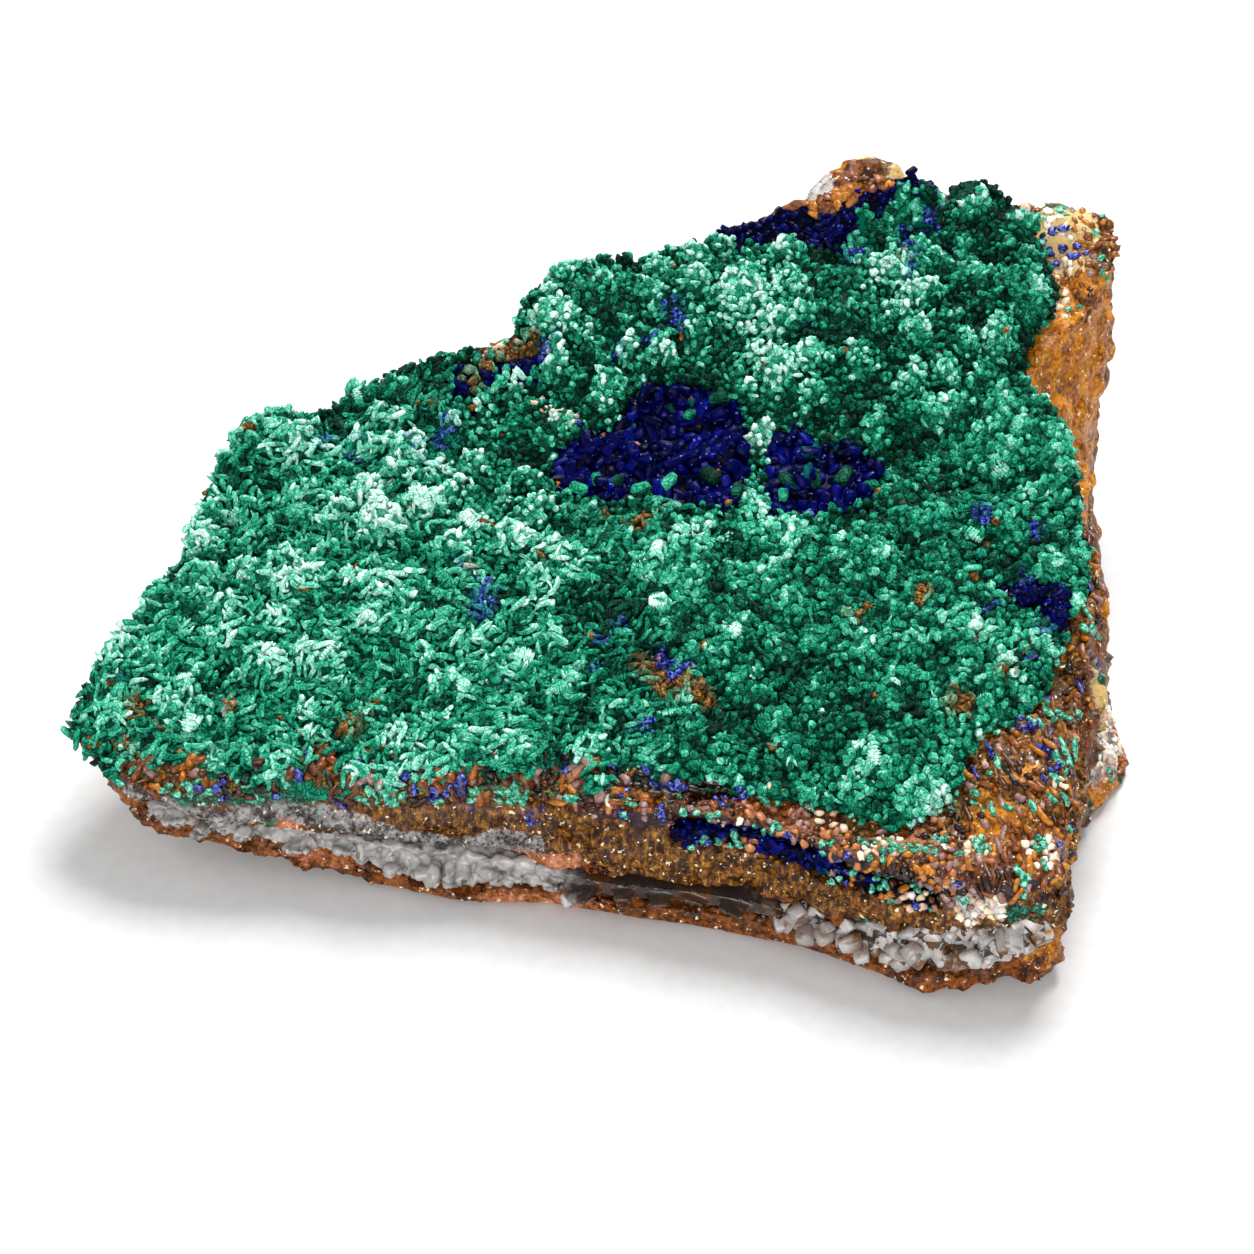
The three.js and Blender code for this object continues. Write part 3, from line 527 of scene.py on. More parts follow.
def smoothed(surface, passes, free):
    """Evens out a surface: each free point moves halfway to its neighbours' mean, once for each pass."""
    sides = surface.faces[:, [0, 1, 1, 2, 2, 0]].reshape(-1, 2)
    edges = np.unique(np.sort(sides, axis=1), axis=0)
    ends = np.vstack([edges, edges[:, ::-1]])
    points = surface.points.copy()
    count = np.maximum(np.bincount(ends[:, 0], minlength=len(points)), 1)[:, None]
    for _ in range(passes):
        total = [np.bincount(ends[:, 0], points[ends[:, 1], k], len(points)) for k in range(3)]
        points = np.where(free[:, None], 0.5 * points + 0.5 * np.stack(total, axis=1) / count, points)
    return Surface(points, surface.faces)


def scatter(surface, gap, random, keep):
    """Places over the kept faces of a surface that stand at least a gap apart, and the normals there."""
    area = np.linalg.norm(surface.face_normals(), axis=1) / 2 * keep
    tries = int(5 * area.sum() / gap ** 2) + 20
    picked = random.choice(len(area), tries, p=area / area.sum())
    u, v = random.random((2, tries))
    flip = u + v > 1
    u, v = np.where(flip, 1 - u, u), np.where(flip, 1 - v, v)
    weights = np.stack([1 - u - v, u, v], axis=1)[:, :, None]
    corners = surface.faces[picked]
    places = (surface.points[corners] * weights).sum(axis=1)
    normals = unit((surface.normals()[corners] * weights).sum(axis=1))
    chosen = spaced_out(places, gap)
    return places[chosen], normals[chosen]


def spaced_out(places, gap):
    """The numbers of the places that stand at least a gap from each one chosen before them."""
    cells = np.floor(places / gap).astype(int).tolist()
    steps = list(itertools.product((-1, 0, 1), repeat=3))
    taken = {}
    chosen = []
    for i, ((a, b, c), (x, y, z)) in enumerate(zip(cells, places.tolist())):
        near = (taken.get((a + p, b + q, c + r)) for p, q, r in steps)
        if any((x - o[0]) ** 2 + (y - o[1]) ** 2 + (z - o[2]) ** 2 < gap ** 2 for o in near if o):
            continue
        taken[a, b, c] = (x, y, z)
        chosen.append(i)
    return np.array(chosen, int)


# Crystals and grains

class Shapes:
    """A set of small shapes from -1 to 1 each way, their faces, and how near each point is to a rim."""

    def __init__(self, shapes, faces, rims):
        self.shapes = np.array(shapes)
        self.faces = np.array(faces)
        self.rims = np.array(rims)


def rod_shapes(kind, random):
    """Rounded rods along x, each a little different, with rims at their ends and along two ridges."""
    sides, rings, bluntness, unevenness, bend, count = ROD_KINDS[kind]
    steps = np.linspace(-1, 1, rings + 2)[1:-1]
    steps = np.sign(steps) * np.abs(steps) ** 0.7
    rims = [1.0]
    for step in steps:
        rims += [0.3 + 0.5 * abs(step) + 0.45 * math.cos(4 * math.pi * i / sides) for i in range(sides)]
    rims.append(1.0)
    shapes = []
    for _ in range(count):
        points = [(-1, 0, 0)]
        taper = random.uniform(-0.2, 0.2)
        for step in steps:
            radius = (1 - abs(step) ** bluntness) ** (1 / 2.4) * (1 + taper * step)
            for i in range(sides):
                angle = 2 * math.pi * i / sides
                swell = radius * (1 + random.normal(0, unevenness))
                points.append((step, swell * math.cos(angle), swell * math.sin(angle)))
        points.append((1, 0, 0))
        shape = np.array(points)
        shape[:, 1:] += random.normal(0, bend, 2) * (shape[:, :1] ** 2 - 0.4)
        shapes.append(shape)
    faces = []
    last = 1 + rings * sides
    for i in range(sides):
        j = (i + 1) % sides
        faces.append((0, 1 + j, 1 + i))
        faces.append((last, last - sides + i, last - sides + j))
        for k in range(rings - 1):
            a, b = 1 + k * sides + i, 1 + k * sides + j
            c, d = b + sides, a + sides
            faces += [(a, b, d), (b, c, d)] if k % 2 else [(a, b, c), (a, c, d)]
    return Shapes(shapes, faces, rims)


def block_shapes(kind, random):
    """Flat-sided crystals with chamfered edges, which narrow towards +x by the chisel share."""
    chamfer, chisel, unevenness, count = BLOCK_KINDS[kind]
    corners = list(itertools.product((-1, 1), repeat=3))
    points, owner = [], {}
    for corner in corners:
        for axis in range(3):
            owner[corner, axis] = len(points)
            points.append([c * (1 if k == axis else 1 - chamfer) for k, c in enumerate(corner)])
    faces = [[owner[corner, k] for k in range(3)] for corner in corners]
    for axis in range(3):
        p, q = [k for k in range(3) if k != axis]

        def corner_at(values):
            corner = [0, 0, 0]
            corner[axis], corner[p], corner[q] = values
            return tuple(corner)

        for sign in (-1, 1):
            ring = [owner[corner_at((sign, a, b)), axis] for a, b in ((-1, -1), (1, -1), (1, 1), (-1, 1))]
            faces += [[ring[0], ring[1], ring[2]], [ring[0], ring[2], ring[3]]]
        for a, b in itertools.product((-1, 1), repeat=2):
            low, high = corner_at((-1, a, b)), corner_at((1, a, b))
            quad = [owner[low, p], owner[high, p], owner[high, q], owner[low, q]]
            faces += [[quad[0], quad[1], quad[2]], [quad[0], quad[2], quad[3]]]
    base = np.array(points, float)
    faces = np.array(faces)
    across = np.cross(base[faces[:, 1]] - base[faces[:, 0]], base[faces[:, 2]] - base[faces[:, 0]])
    inward = (across * base[faces].mean(axis=1)).sum(axis=1) < 0
    faces[inward] = faces[inward][:, ::-1]
    shapes = []
    for _ in range(count):
        shape = base * (1 + random.normal(0, unevenness, base.shape))
        narrow = 1 - chisel * (shape[:, :1] + 1) / 2
        shape[:, 2:] *= narrow
        shape[:, 1:2] *= 1 - 0.4 * (1 - narrow)
        shape[:, 1] += random.normal(0, 0.15) * shape[:, 0]
        shapes.append(shape)
    return Shapes(shapes, faces, np.ones(len(base)))


def turned_axes(normals, lean, random, heading=0.0, stray=math.pi):
    """Axes for things on a surface: along them, across them and up. The heading turns from +x to +y, give or
    take the stray, and the lean lifts the far end."""
    side = unit(np.cross([0.0, 1.0, 0.0], normals))
    ahead = np.cross(normals, side)
    angle = heading + random.uniform(-stray, stray, len(normals))
    flat = np.cos(angle)[:, None] * side + np.sin(angle)[:, None] * ahead
    across = np.cross(normals, flat)
    lean = np.broadcast_to(lean, len(normals))[:, None]
    along = np.cos(lean) * flat + np.sin(lean) * normals
    return np.stack([along, across, np.cross(along, across)], axis=2)


def random_sizes(ranges, count, random, skew=1.3):
    """A length, a width and a height for each thing, from (least, greatest) pairs, more often small."""
    low, high = np.array(ranges, float).T
    return low + (high - low) * random.random((count, 3)) ** skew


def placed(kind, places, axes, sizes, random):
    """Copies of the shapes as one surface, the number of the copy that each point is of, and its rim."""
    chosen = kind.shapes[random.integers(0, len(kind.shapes), len(places))]
    points = np.einsum("nij,nkj->nki", axes * sizes[:, None, :] / 2, chosen) + places[:, None, :]
    count = kind.shapes.shape[1]
    owners = np.repeat(np.arange(len(places)), count)
    whole = (kind.faces[None] + count * np.arange(len(places))[:, None, None]).reshape(-1, 3)
    return Surface(points.reshape(-1, 3), whole), owners, np.tile(kind.rims, len(places))


def joined(parts):
    """Several (surface, values) pairs as one pair. All hold values of the same names."""
    start = 0
    points, faces = [], []
    for surface, _ in parts:
        points.append(surface.points)
        faces.append(surface.faces + start)
        start += len(surface.points)
    values = {key: np.concatenate([v[key] for _, v in parts]) for key in parts[0][1]}
    return Surface(np.vstack(points), np.vstack(faces)), values


def heights_over(surface, places, normals, owners):
    """How high each point of placed copies stands over the place of its copy, along the normal there."""
    return ((surface.points - places[owners]) * normals[owners]).sum(axis=1)


def new_object(name, data):
    """A new object in the scene."""
    thing = bpy.data.objects.new(name, data)
    bpy.context.scene.collection.objects.link(thing)
    return thing


def add_piece(name, surface, values, material, slot, nodes):
    """Makes the surface a mesh piece of the specimen, with its values as point attributes."""
    mesh = bpy.data.meshes.new(name)
    mesh.vertices.add(len(surface.points))
    mesh.vertices.foreach_set("co", (surface.points * MM).astype(np.float32).ravel())
    mesh.loops.add(surface.faces.size)
    mesh.loops.foreach_set("vertex_index", surface.faces.astype(np.int32).ravel())
    mesh.polygons.add(len(surface.faces))
    mesh.polygons.foreach_set("loop_start", np.arange(0, surface.faces.size, 3, dtype=np.int32))
    mesh.update(calc_edges=True)
    for key, value in values.items():
        mesh.attributes.new(key, "FLOAT", "POINT").data.foreach_set("value", value.astype(np.float32))
    mesh.shade_smooth()
    mesh.materials.append(material)
    piece = new_object(name, mesh)
    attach(piece, "root")
    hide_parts(*nodes)


# Materials

def add_node(tree, kind, inputs=None, **settings):
    """Adds a shader node with its own settings, among them the (place, colour) stops of a colour ramp.

    Inputs are named, or numbered among those in use, and take a value, an output, or a node whose first
    output in use they then get.
    """
    node = tree.nodes.new("ShaderNode" + kind)
    for name, value in settings.items():
        if name == "stops":
            elements = node.color_ramp.elements
            while len(elements) < len(value):
                elements.new(1.0)
            for element, (place, colour) in zip(elements, value):
                element.position = place
                element.color = tuple(colour)
        else:
            setattr(node, name, value)
    sockets = [socket for socket in node.inputs if socket.enabled]
    for key, value in (inputs or {}).items():
        socket = sockets[key] if isinstance(key, int) else next(s for s in sockets if s.name == key)
        if isinstance(value, bpy.types.Node):
            value = next(output for output in value.outputs if output.enabled)
        if isinstance(value, bpy.types.NodeSocket):
            tree.links.new(value, socket)
        else:
            socket.default_value = value
    return node


def new_material(name):
    """An empty material, what adds nodes to it, and the output that gives an object's own places."""
    material = bpy.data.materials.new(name)
    material.use_nodes = True
    material.node_tree.nodes.clear()
    node = functools.partial(add_node, material.node_tree)
    return material, node, node("TexCoord").outputs["Object"]


def finished(node, **inputs):
    """Ends a material with its shader."""
    shader = node("BsdfPrincipled", {name.replace("_", " "): value for name, value in inputs.items()})
    node("OutputMaterial", {"Surface": shader})


def ramp_stops(colours, places, names):
    """The stops of a colour ramp, from places along it and the names of the colours there."""
    return [(place, getattr(colours, name)) for place, name in zip(places, names.split())]


def laid_over(node, body, colour, cover, low, high):
    """Lays a colour over the body as the cover passes from low to high."""
    share = node("MapRange", {"Value": cover, "From Min": low, "From Max": high})
    return node("Mix", {"Factor": share, "A": body, "B": colour}, data_type="RGBA")


def malachite_material(colours):
    """Fibrous malachite grown as a granular crust.

    Silky, made of ever smaller grains with pale rims painted on as highlight, and painted almost black as
    shade in the gaps between them.
    """
    material, node, place = new_material("malachite, fibrous, grown as grains")
    # The real speckle of fibre ends is finer than 0.1 mm, and is drawn coarser here so that it shows
    speckle = node("TexNoise", {"Vector": place, "Scale": per_mm(0.42), "Detail": 4.0, "Roughness": 0.68})
    cloud = node("TexNoise", {"Vector": place, "Scale": per_mm(2.2), "Detail": 2.0})
    # The lesser grains that each grain is grown from: dark seams painted as the shade between them, pale rims
    # painted as highlight, and a darker middle
    bent = node("VectorMath", {0: speckle.outputs["Color"], 1: (0.4 * MM,) * 3, 2: place},
                operation="MULTIPLY_ADD")
    grown = node("TexVoronoi", {"Vector": bent, "Scale": per_mm(0.95)}, feature="DISTANCE_TO_EDGE")
    greys = [(0.0, 0x000000), (0.05, 0x6A6A6A), (0.13, 0xFFFFFF), (0.3, 0x909090)]
    cells = node("ValToRGB", {"Fac": grown.outputs["Distance"]},
                 stops=[(step, hex_colour(code)) for step, code in greys])
    tone, rim, rise, stain, blue = (
        node("Attribute", attribute_name=name) for name in ("tone", "rim", "rise", "stain", "blue"))
    # Painted light: the rim paints a pale sheen on the ends and ridges of each grain, and the rise paints the
    # tops of the grains paler as highlight.
    for source, weight in ((speckle, 0.85), (cloud, 0.7), (rim, 0.3), (cells, 0.3), (rise, 0.25)):
        tone = node("Math", {0: source, 1: weight, 2: tone}, operation="MULTIPLY_ADD")
    tone = node("MapRange", {"Value": tone, "From Min": 1.13, "From Max": 2.1})
    body = node("ValToRGB", {"Fac": tone}, stops=ramp_stops(
        colours, (0.0, 0.24, 0.46, 0.66, 0.84, 1.0),
        "malachite_gap malachite_deep malachite_mid malachite_light malachite_pale malachite_tip"))
    for cover, steps, names in (
            (stain, (0.38, 0.5, 0.64), "stain_dark stain_mid stain_light"),
            (blue, (0.38, 0.5, 0.62), "azurite_body azurite_face azurite_pale")):
        tinted = node("ValToRGB", {"Fac": speckle}, stops=ramp_stops(colours, steps, names))
        body = laid_over(node, body, tinted, cover, 0.35, 0.75)
    # Painted shade: the darkest colour is laid over the ground and the low parts of the grains, where the gaps
    # between them lie in shade.
    body = laid_over(node, body, colours.malachite_gap, rise, 0.3, -0.22)
    relief = node("Mix", {"Factor": 0.5, "A": speckle, "B": cells}, data_type="FLOAT")
    relief = node("Bump", {"Strength": 0.8, "Distance": 0.16 * MM, "Height": relief})
    gloss = node("MapRange", {
        "Value": speckle, "From Min": 0.4, "From Max": 0.65, "To Min": 0.6, "To Max": 0.3})
    finished(node, Base_Color=body, Roughness=gloss, Normal=relief, IOR=1.66, Specular_IOR_Level=0.06)
    return material


def azurite_material(colours):
    """Azurite, grown as free crystals.

    Deep ultramarine that stays dark, with soft painted glints, and green where it has altered.
    """
    material, node, place = new_material("azurite, grown as free crystals")
    cloud = node("TexNoise", {"Vector": place, "Scale": per_mm(1.1), "Detail": 4.0})
    lines = node("TexNoise", {"Vector": place, "Scale": per_mm(0.4), "Detail": 3.0, "Roughness": 0.7})
    tone, stain = (node("Attribute", attribute_name=name) for name in ("tone", "stain"))
    for source, weight in ((cloud, 0.7), (lines, 0.5)):
        tone = node("Math", {0: source, 1: weight, 2: tone}, operation="MULTIPLY_ADD")
    tone = node("MapRange", {"Value": tone, "From Min": 0.6, "From Max": 1.4})
    body = node("ValToRGB", {"Fac": tone}, stops=ramp_stops(
        colours, (0.0, 0.5, 0.85, 1.0), "azurite_deep azurite_body azurite_face azurite_pale"))
    altered = node("Math", {0: stain, 1: cloud}, operation="ADD")
    body = laid_over(node, body, colours.malachite_deep, altered, 1.0, 1.25)
    # Painted highlight: small pale glints laid into the colour.
    glints = node("TexNoise", {"Vector": place, "Scale": per_mm(0.55), "Detail": 1.0})
    body = laid_over(node, body, colours.azurite_pale, glints, 0.72, 0.76)
    relief = node("Bump", {"Strength": 0.5, "Distance": 0.1 * MM, "Height": lines})
    finished(node, Base_Color=body, Roughness=0.3, Normal=relief, IOR=1.75, Specular_IOR_Level=0.03)
    return material


def quartz_material(colours):
    """Milky vein quartz, broken.

    Grey-white and half clear, with glassy faces, fine veils inside and a little rust.
    """
    material, node, place = new_material("milky quartz, broken from a vein")
    veils = node("TexNoise", {"Vector": place, "Scale": per_mm(1.5), "Detail": 5.0, "Roughness": 0.65})
    tone, stain = (node("Attribute", attribute_name=name) for name in ("tone", "stain"))
    tone = node("Math", {0: veils, 1: 0.9, 2: tone}, operation="MULTIPLY_ADD")
    tone = node("MapRange", {"Value": tone, "From Min": 0.5, "From Max": 1.4})
    body = node("ValToRGB", {"Fac": tone}, stops=ramp_stops(
        colours, (0.0, 0.36, 0.7, 1.0), "quartz_smoky quartz_grey quartz_milky quartz_white"))
    rusty = node("Math", {0: stain, 1: veils}, operation="ADD")
    body = laid_over(node, body, colours.stain_mid, rusty, 1.0, 1.4)
    relief = node("Bump", {"Strength": 0.4, "Distance": 0.12 * MM, "Height": veils})
    finished(node, Base_Color=body, Roughness=0.16, Normal=relief, IOR=1.544, Transmission_Weight=0.22)
    return material


def ore_material(colours):
    """Limonite and goethite, broken across the layers.

    Rusty and gritty, silky in the fibrous golden layer, with a greasy shine on the darker parts and small
    painted glints.
    """
    material, node, place = new_material("limonite and goethite, broken across the layers")
    grit = node("TexNoise", {"Vector": place, "Scale": per_mm(0.55), "Detail": 4.0, "Roughness": 0.7})
    patches = node("TexNoise", {"Vector": place, "Scale": per_mm(2.4), "Detail": 5.0, "Roughness": 0.65})
    upright = node("Mapping", {"Vector": place, "Scale": (1.2, 1.2, 0.55)})
    fibres = node("TexNoise", {"Vector": upright, "Scale": per_mm(0.8), "Detail": 5.0, "Roughness": 0.7})
    blotch = node("Mix", {"Factor": 0.5, "A": grit, "B": patches}, data_type="FLOAT")
    body = node("ValToRGB", {"Fac": blotch}, stops=ramp_stops(
        colours, (0.36, 0.46, 0.54, 0.66), "ore_dark rust_deep rust rust_pale"))
    layers = [
        ("fibrous", fibres, "ore_dark goethite_deep goethite goethite_gold"),
        ("quartz", blotch, "ore_dark quartz_smoky quartz_grey quartz_milky"),
        ("lip", blotch, "ore_dark manganese manganese manganese_pale"),
        ("salmon", blotch, "rust_deep rust salmon salmon_pale"),
        ("amber", blotch, "rust_deep amber_deep amber amber_pale"),
        ("cream", blotch, "amber_deep cream cream cream_pale"),
        ("glassy", blotch, "rust_deep quartz_grey quartz_milky quartz_white"),
        ("green", grit, "ore_dark malachite_gap malachite_deep malachite_light"),
        ("blue", grit, "azurite_deep azurite_body azurite_face azurite_pale"),
    ]
    for name, source, names in layers:
        tinted = node("ValToRGB", {"Fac": source}, stops=ramp_stops(colours, (0.36, 0.46, 0.56, 0.7), names))
        share = node("Attribute", attribute_name=name)
        frayed = node("Math", {0: blotch, 1: 1.6, 2: share}, operation="MULTIPLY_ADD")
        body = laid_over(node, body, tinted, frayed, 1.2, 1.4)
    # Painted highlight: small pale glints over the whole rock.
    glint_flecks = node("TexNoise", {"Vector": place, "Scale": per_mm(0.6), "Detail": 1.0})
    body = laid_over(node, body, colours.cream_pale, glint_flecks, 0.68, 0.72)
    relief = node("Mix", {"Factor": 0.4, "A": grit, "B": fibres}, data_type="FLOAT")
    relief = node("Bump", {"Strength": 1.0, "Distance": 0.2 * MM, "Height": relief})
    gloss = node("MapRange", {
        "Value": blotch, "From Min": 0.38, "From Max": 0.62, "To Min": 0.22, "To Max": 0.5})
    finished(node, Base_Color=body, Roughness=gloss, Normal=relief, IOR=1.6, Specular_IOR_Level=0.18)
    return material


def crumb_material(colours):
    """Small nodules of limonite, calcite and quartz, grown and worn.

    Glassy and wet-looking: amber, brown, pink and cream side by side.
    """
    material, node, place = new_material("limonite and calcite nodules, glassy")
    grit = node("TexNoise", {"Vector": place, "Scale": per_mm(0.5), "Detail": 4.0, "Roughness": 0.7})
    tone, rise, blue, green = (
        node("Attribute", attribute_name=name) for name in ("tone", "rise", "blue", "green"))
    tone = node("Math", {0: grit, 1: 0.4, 2: tone}, operation="MULTIPLY_ADD")
    tone = node("MapRange", {"Value": tone, "From Min": 0.2, "From Max": 1.2})
    body = node("ValToRGB", {"Fac": tone}, stops=ramp_stops(
        colours, (0.0, 0.14, 0.28, 0.42, 0.55, 0.68, 0.8, 0.92, 1.0),
        "ore_dark rust_deep rust amber salmon manganese_pale salmon_pale cream_pale quartz_white"))
    for cover, names in (
            (blue, "azurite_deep azurite_face azurite_pale"),
            (green, "malachite_deep malachite_mid malachite_pale")):
        tinted = node("ValToRGB", {"Fac": grit}, stops=ramp_stops(colours, (0.4, 0.5, 0.62), names))
        body = laid_over(node, body, tinted, cover, 0.4, 0.6)
    # Painted shade: nodules turn dark low down, where they meet the rock.
    body = laid_over(node, body, colours.ore_dark, rise, 0.35, -0.1)
    relief = node("Bump", {"Strength": 0.6, "Distance": 0.12 * MM, "Height": grit})
    finished(node, Base_Color=body, Roughness=0.24, Normal=relief, IOR=1.58, Specular_IOR_Level=0.35)
    return material


def card_material(colours):
    """A sheet of matt white card that the specimen lies on."""
    material, node, place = new_material("card, matt white")
    weave = node("TexNoise", {"Vector": place, "Scale": per_mm(2.0), "Detail": 3.0})
    body = laid_over(node, colours.floor, colours.floor_pale, weave, 0.3, 0.7)
    finished(node, Base_Color=body, Roughness=0.9, Specular_IOR_Level=0.2)
    return material


# The malachite crust

@functools.cache
def crust_ground(spacing):
    """What the grains of the crust stand on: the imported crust, evened out, with its lumps and hollows."""
    solid = node_surface("malachite_crust")
    tree = solid.tree()

    def longest(middles):
        return np.where(dropped(tree, middles) - middles[:, 2] > 1.2, HIDDEN_EDGE, spacing)

    ground = refined(solid, longest)
    upward = ground.normals()[:, 2] > 0.25
    ground = smoothed(ground, 5, upward)
    ground.points[upward, 2] += crust_relief(ground.points[upward])
    return ground


def crust_relief(points):
    """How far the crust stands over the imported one: cauliflower lumps on the upper half, low ones below."""
    flat = points * PLAN
    upper = smooth_step(-4, 10, points[:, 1] - 0.25 * points[:, 0])
    warped = wandering(flat, 0.8, 2.0, 7) * PLAN
    large = cell_cushions(warped, 5.4, 11, 2.8)
    small = cell_cushions(warped, 2.5, 23, 1.3)
    lumps = upper * (3.8 * large + 1.0 * small - 2.8) + (1 - upper) * (1.3 * large + 0.9 * small - 1.3)
    relief = swells_at(points, CRUST_SWELLS) + lumps + 0.6 * soft_noise(flat, 6.0, 5)
    return np.maximum(relief, DEEPEST_HOLLOW)


def crust_zones(ground):
    """Which faces of the crust carry which grains. Its underside and the low part of its front stay bare."""
    middles = ground.face_middles()
    slopes = ground.face_slopes()
    x, y, z = middles.T
    warp = 3 * soft_noise(middles * PLAN, 6.0, 301)
    depth = top_plane(x, y) - z + 0.8 * soft_noise(middles, 2.5, 303)
    bare_front = (behind_rim(x, y) < 5) & (x > -59) & (depth > 0.3)
    bare_front &= (slopes[:, 2] < 0.7) | (depth > 1.0)
    shown = (slopes[:, 2] > -0.15) & ~bare_front
    upper = (y - 0.25 * x + warp > 4) & (x + warp > -22)
    right = ~upper & (x + warp > 6)
    left = ~upper & (x + warp < -24)
    zones = {"upper": upper, "right": right, "left": left, "middle": ~upper & ~right & ~left}
    zones = {name: shown & zone for name, zone in zones.items()}
    zones["front_side"] = bare_front & (slopes[:, 2] > -0.5) & ((depth < 2.2) | (x > -34))
    return zones


def grain_looks(places, random, lift):
    """The tone, stain and blue of each grain, by where it stands and by chance, with painted highlight on the
    lumps and painted shade in the hollows.
    """
    flat = places * PLAN
    count = len(places)
    relief = crust_relief(places)
    # Painted light: grains on high lumps are paler as highlight, and those in the deepest hollows darker as
    # shade.
    tones = 0.46 + lift + patches_at(places, CRUST_SHADES) + 0.15 * np.clip(relief, -1.4, 1.7)
    tones += 0.12 * soft_noise(flat, 6.0, 77) + 0.26 * soft_noise(flat, 2.2, 78)
    tones -= 0.1 * smooth_step(-0.8, -1.6, relief)
    tones += random.normal(0, 0.08, count)
    tones += np.where(random.random(count) < 0.03, 0.18, 0)
    tones -= np.where(random.random(count) < 0.15, 0.14, 0)
    tones = np.minimum(tones, 0.8)
    stains = patches_at(places, CRUST_STAINS) + random.normal(0, 0.12, count)
    stains += np.where(random.random(count) < 0.004, 0.8, 0)
    blues = patches_at(places, CRUST_BLUES) + random.normal(0, 0.12, count)
    return {"tone": tones, "stain": stains, "blue": blues}


def grain_values(copies, places, normals, looks):
    """The values of each point of placed grains, among them its rise from 0 on the ground to 1 above it."""
    surface, owners, rims = copies
    values = {key: value[owners] for key, value in looks.items()}
    # The rise drives the painted gap shade low on each grain and the painted highlight on its top.
    values["rise"] = np.clip(heights_over(surface, places, normals, owners) / GRAIN_REACH, 0, 1)
    values["rim"] = rims
    return surface, values


def strewn(random, ground, keep, gap, kind, ranges, lean, seat, lift, **turn):
    """Grains of one kind on the ground. The seat is how high their middles stand, in their own heights."""
    places, normals = scatter(ground, gap, random, keep)
    sizes = random_sizes(ranges, len(places), random)
    axes = turned_axes(normals, random.normal(*lean, len(places)), random, **turn)
    copies = placed(kind, places + normals * (seat * sizes[:, 2:]), axes, sizes, random)
    return grain_values(copies, places, normals, grain_looks(places, random, lift))


def sprayed(places, normals, lengths, blades, kind, random, lift):
    """Fans of thin blades that spread from each place."""
    owners = np.repeat(np.arange(len(places)), blades)
    heading = np.repeat(random.uniform(-math.pi, math.pi, len(places)), blades)
    heading += random.uniform(-1.2, 1.2, len(owners))
    lean = np.abs(random.normal(0.5, 0.3, len(owners)))
    axes = turned_axes(normals[owners], lean, random, heading, 0.05)
    long = lengths[owners] * random.uniform(0.6, 1.1, len(owners))
    sizes = np.stack([long, 0.3 + 0.1 * long, np.full(len(owners), 0.34)], axis=1)
    seats = places[owners] + axes[:, :, 0] * long[:, None] * 0.4
    looks = grain_looks(places[owners], random, lift)
    looks["stain"] *= 0
    return grain_values(placed(kind, seats, axes, sizes, random), places[owners], normals[owners], looks)


def bundled(ground, keep, gap, rods, kind, random):
    """Striped lumps: short fibres side by side, which all lean the same way."""
    places, normals = scatter(ground, gap, random, keep)
    axes = turned_axes(normals, np.abs(random.normal(0.35, 0.3, len(places))), random)
    owners = np.repeat(np.arange(len(places)), rods)
    rank = np.tile(np.arange(rods) - (rods - 1) / 2, len(places)) + random.normal(0, 0.12, len(owners))
    long = random.uniform(1.3, 2.2, len(places))[owners] * (1 - 1.6 * (rank / rods) ** 2)
    sizes = np.stack([long, np.full(len(owners), 0.5), np.full(len(owners), 0.8)], axis=1)
    seats = places[owners] + axes[owners, :, 1] * (0.36 * rank)[:, None]
    seats += normals[owners] * (0.55 - 0.5 * (rank / rods) ** 2)[:, None]
    looks = {key: value[owners] for key, value in grain_looks(places, random, 0.06).items()}
    copies = placed(kind, seats, axes[owners], sizes, random)
    return grain_values(copies, places[owners], normals[owners], looks)


def build_crust_bed(ground, material):
    """The ground that shows between the grains, painted dark as shade, rusty where it hangs over the front
    wall.
    """
    points = ground.points
    x, y, z = points.T
    depth = top_plane(x, y) - z
    hanging = smooth_step(0.4, 1.4, depth) * smooth_step(5, 3, behind_rim(x, y))
    low = smooth_step(2.2, 3.4, depth) * smooth_step(-32, -36, x)
    rust = (hanging - low) * (0.7 + 0.5 * soft_noise(points, 2.0, 9))
    relief = np.clip(crust_relief(points), -1.5, 1.5)
    # Painted shade: the low rise paints the bed in the gap colour as the shade between the grains. Its lumps
    # get less of it and a paler tone, as painted highlight.
    values = {
        "rim": np.zeros(len(points)),
        "blue": np.zeros(len(points)),
        "tone": 0.45 + 0.1 * relief,
        "stain": patches_at(points, CRUST_STAINS) + rust,
        "rise": np.maximum(0.12 + 0.1 * relief, 0.35 * hanging),
    }
    add_piece("malachite_bed", ground, values, material, "malachite", ["malachite_crust"])


def rod_field(name, ground, keep, random, gap, rows, bundle_gap, fan_gap, fan_length, fan_lift, material):
    """Rods and flakes by the rows, and between them striped lumps and small fans of blades.

    A row holds the gap in grain gaps, the shapes, their (least, greatest) length, width and height, the lean
    and its spread, the seat, the change of tone, and how they turn.
    """
    fibres = rod_shapes("fibre", random)
    blades = rod_shapes("blade", random)
    fans, fan_normals = scatter(ground, fan_gap, random, keep)
    parts = [strewn(random, ground, keep, share * gap, *row, **turn) for share, *row, turn in rows]
    parts.append(bundled(ground, keep, bundle_gap, 6, fibres, random))
    lengths = random.uniform(*fan_length, len(fans))
    parts.append(sprayed(fans, fan_normals, lengths, 7, blades, random, fan_lift))
    add_piece(name, *joined(parts), material, "malachite", ["malachite_crust"])


